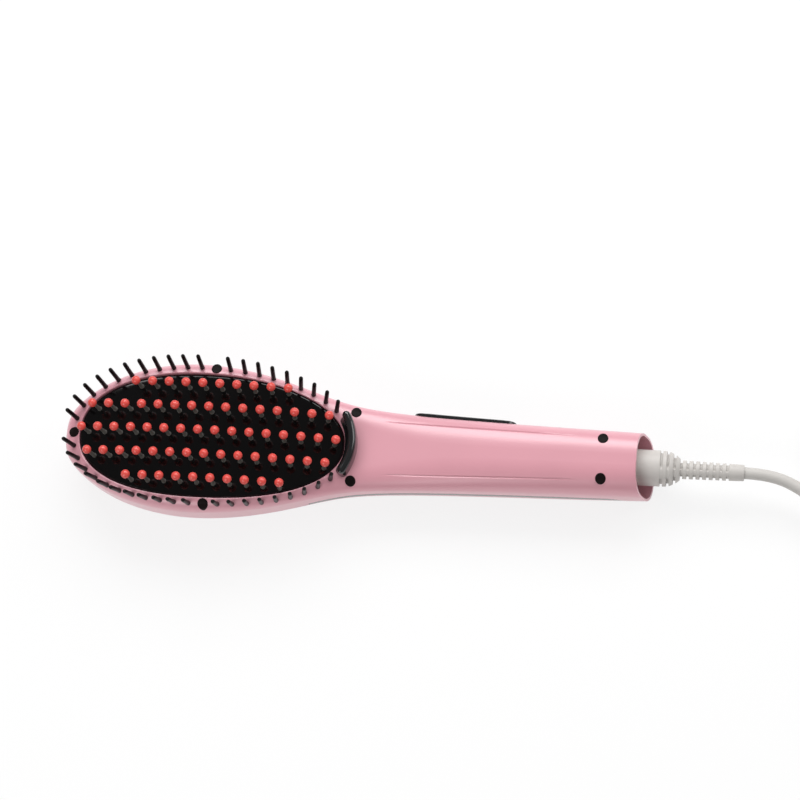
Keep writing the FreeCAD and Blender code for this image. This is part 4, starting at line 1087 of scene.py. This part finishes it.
def side_ring(x, length, height, share, offset):
    """A stadium on the handle's side, drawn to its middle by a share."""
    ring = []
    for px, pz in stadium_outline(x, length, height):
        px, pz = x + (px - x) * share, parting_height + (pz - parting_height) * share
        ring.append((px, side_reach(px) + offset, pz))
    return ring


def pressed_bar(name, x, length, height, edge, levels, dish):
    """A stadium bar: a table of (growth, offset) levels, a rounded edge and a dished face."""
    first, face = levels[0], levels[-1]
    rings = [side_ring(x, length + 2 * first[0], height + 2 * first[0], 0.05, first[1])]
    rings += [side_ring(x, length + 2 * grow, height + 2 * grow, 1, offset) for grow, offset in levels[:-1]]
    for inset, drop in quarter_round(edge, edge_steps):
        rings.append(side_ring(x, length - 2 * inset, height - 2 * inset, 1, face[1] - drop))
    for share in (0.75, 0.45, 0.05):
        offset = face[1] - dish * (1 - share**2)
        rings.append(side_ring(x, length - 2 * edge, height - 2 * edge, share, offset))
    return skin(name, rings, trim_black)


strip_levels = ((0, -strip_deep), (0, strip_proud))
strip = pressed_bar("key_strip", strip_x, strip_length, strip_height, strip_edge, strip_levels, 0)
key_length, key_height, key_pitch, key_gap = 0.011, 0.005, 0.0145, 0.0003
key_places = {"minus": strip_x - key_pitch, "plus": strip_x, "power": strip_x + key_pitch}
for x in key_places.values():
    hole = stadium_outline(x, key_length + 2 * key_gap, key_height + 2 * key_gap)
    carve(strip, side_prism("hole", hole, 0, side_room, trim_black))
even_normals(strip, 35)
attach(strip, "brush")
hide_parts("button_strip")

# Keys: three black press keys with a flange behind the strip and a stem on the
# switch. Their pale marks are plain: less, more and on.
mark_pale = moulded_material("mark_pale", (0.62, 0.62, 0.60), 0.45, 800.0, 0.05)
flange_grow, flange_back, flange_front = 0.0011, -0.0035, -0.0025
key_proud, key_edge, key_dish = 0.0017, 0.0005, 0.00012
key_levels = ((flange_grow, flange_back), (flange_grow, flange_front), (0, flange_front), (0, key_proud))
stem_radius, stem_foot, stem_overlap, stem_sides = 0.0019, 0.0128, 0.0002, 24
mark_half, mark_stroke, mark_proud, mark_sink = 0.0011, 0.00042, 0.00005, 0.0002
upright_half, upright_rise, arm_half, arm_rise = 0.0006, 0.0009, 0.00045, 0.00066
arc_half_gap, arc_steps = radians(38), 24


def printed(x, outline):
    """A flat mark on a key's face, from (x, z) points round the key's middle."""
    face = side_reach(x) + key_proud - key_dish
    placed = [(x + px, parting_height + pz) for px, pz in outline]
    return side_prism("print", placed, face - mark_sink, face + mark_proud, mark_pale)


def mark_bar(x, half_x, half_z, rise=0.0):
    corners = ((1, 1), (1, -1), (-1, -1), (-1, 1))
    return printed(x, [(sx * half_x, rise + sz * half_z) for sx, sz in corners])


def mark_arc(x):
    """A ring with a gap at the top."""
    start, sweep = pi / 2 + arc_half_gap, 2 * pi - 2 * arc_half_gap
    outer = arc(0, 0, mark_half + mark_stroke / 2, start, sweep, arc_steps)
    inner = arc(0, 0, mark_half - mark_stroke / 2, start, sweep, arc_steps)
    return printed(x, outer + inner[::-1])


for key, x in key_places.items():
    cap = pressed_bar(key + "_cap", x, key_length, key_height, key_edge, key_levels, key_dish)
    stem_length = side_reach(x) + flange_back - stem_foot + stem_overlap
    stem_profile = ((0, stem_radius), (stem_length, stem_radius))
    stem = turned("stem", (x, stem_foot, parting_height), (0, 1, 0), stem_profile, stem_sides, trim_black)
    cap = even_normals(joined(key + "_key_cap", [cap, stem]), 35)
    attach(cap, key + "_key")
    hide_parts(key + "_button")
    if key == "power":
        marks = [mark_arc(x), mark_bar(x, mark_stroke / 2, upright_half, upright_rise)]
    else:
        marks = [mark_bar(x, mark_half, mark_stroke / 2)]
    if key == "plus":
        marks += [mark_bar(x, mark_stroke / 2, sz * arm_half, sz * arm_rise) for sz in (1, -1)]
    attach(joined(key + "_mark", marks), key + "_key")

# Swivel boot: the soft strain relief that turns with the cord. A round collar,
# three broad rings, then narrow ribs joined by two spines with open slots between.
boot_start, boot_sides, collar_radius, collar_length = 0.1312, 64, 0.0084, 0.0120
# radius at the start and the end of each broad ring
broad_radii = [(0.00835, 0.00825), (0.0080, 0.0073), (0.0065, 0.0052)]
rib_pitch, rib_radius, rib_taper, rib_count = 0.00305, 0.00435, 0.0004, 7
slot_width, slot_depth, core_radius, lip = 0.0012, 0.0012, 0.0031, 0.00015
spine_turn, spine_half_angle, spine_flank = radians(-32), radians(17), radians(9)
boot_rings = []


def boot_ring(x, radius, slot_radius):
    """One section; between ribs the slots lie deeper than the spines on two sides."""
    ring = []
    for c, s in round_steps(boot_sides):
        toward_spine = s * cos(spine_turn) + c * sin(spine_turn)
        off_spine = acos(min(1.0, abs(toward_spine)))
        share = min(max((off_spine - spine_half_angle) / spine_flank, 0), 1)
        reach = radius + (slot_radius - radius) * share
        ring.append((boot_start + x, reach * c, axis_height + reach * s))
    boot_rings.append(ring)


def boot_slot(x, before, after):
    """The slot between two radii, with softened edges and a spine that bridges it."""
    spine = min(before, after) - lip
    floor_radius = max(min(before, after) - slot_depth, core_radius)
    boot_ring(x, before - lip, before - lip)
    boot_ring(x, spine, floor_radius)
    boot_ring(x + slot_width, spine, floor_radius)
    boot_ring(x + slot_width, after - lip, after - lip)
    boot_ring(x + slot_width + lip, after, after)


collar_profile = (
    (0, 0.003), (0, 0.0079), (0.0002, 0.0082), (0.0006, collar_radius), (collar_length - lip, collar_radius),
)
for x, radius in collar_profile:
    boot_ring(x, radius, radius)
narrow_radii = [rib_radius - rib_taper * k / rib_count for k in range(rib_count + 1)]
rib_radii = broad_radii + [(radius, radius) for radius in narrow_radii]
x, before = collar_length, collar_radius
for first, last in rib_radii:
    boot_slot(x, before, first)
    x, before = x + rib_pitch, last
    if (first, last) != rib_radii[-1]:
        boot_ring(x - lip, last, last)
sleeve_start, boot_end = x - rib_pitch + slot_width + lip, exit_point[0] - boot_start
for share, radius in ((0.5, 0.0039), (0.93, 0.0038), (1.0, 0.0035), (1.0, 0.0029)):
    boot_ring(sleeve_start + (boot_end - sleeve_start) * share, radius, radius)
boot = rounded_shading(skin("boot", boot_rings, boot_grey), 40)
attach(boot, "swivel")
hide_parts("swivel_boot")

# Inside pieces: carried over from the CAD, seen only through the openings.
# Boards, switches, heater, sensors, frames, screws and the swivel's contacts.
inner_white = moulded_material("inner_white", (0.72, 0.70, 0.66), 0.45, 900.0, 0.1)
inner_dark = moulded_material("inner_dark", (0.035, 0.034, 0.036), 0.5, 900.0, 0.12)
board_green = moulded_material("board_green", (0.015, 0.13, 0.05), 0.35, 2400.0, 0.2, coat=0.2)
sensor_glass = moulded_material("sensor_glass", (0.62, 0.27, 0.06), 0.12, 500.0, 0.02, coat=1.0)
heater_metal = brushed_metal("heater_metal", (0.70, 0.71, 0.72), 0.36, 1100.0)
contact_brass = brushed_metal("contact_brass", (0.72, 0.52, 0.21), 0.28, 1600.0)
inside = (
    ("inner_white", inner_white, ("power_plunger", "plus_plunger", "minus_plunger")),
    ("inner_white", inner_white, ("lcd_case", "swivel_bush")),
    ("inner_dark", inner_dark, ("button_switches", "plate_carrier", "swivel_spindle", "contact_block")),
    ("bristle_black", bristle_black, ("bristle_ring",)),
    ("sensor_glass", sensor_glass, ("thermistor",)),
    ("heater_metal", heater_metal, ("ptc_heater",)),
    ("contact_brass", contact_brass, ("slip_rings", "contact_blades")),
    ("board_green", board_green, ("main_board", "button_board")),
    ("screw_steel", screw_steel, ("board_screws", "clamp_screws", "heater_clamp", "thermal_fuse")),
)
for slot, material, nodes in inside:
    for node in nodes:
        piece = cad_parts[node]
        repaint(piece, material)
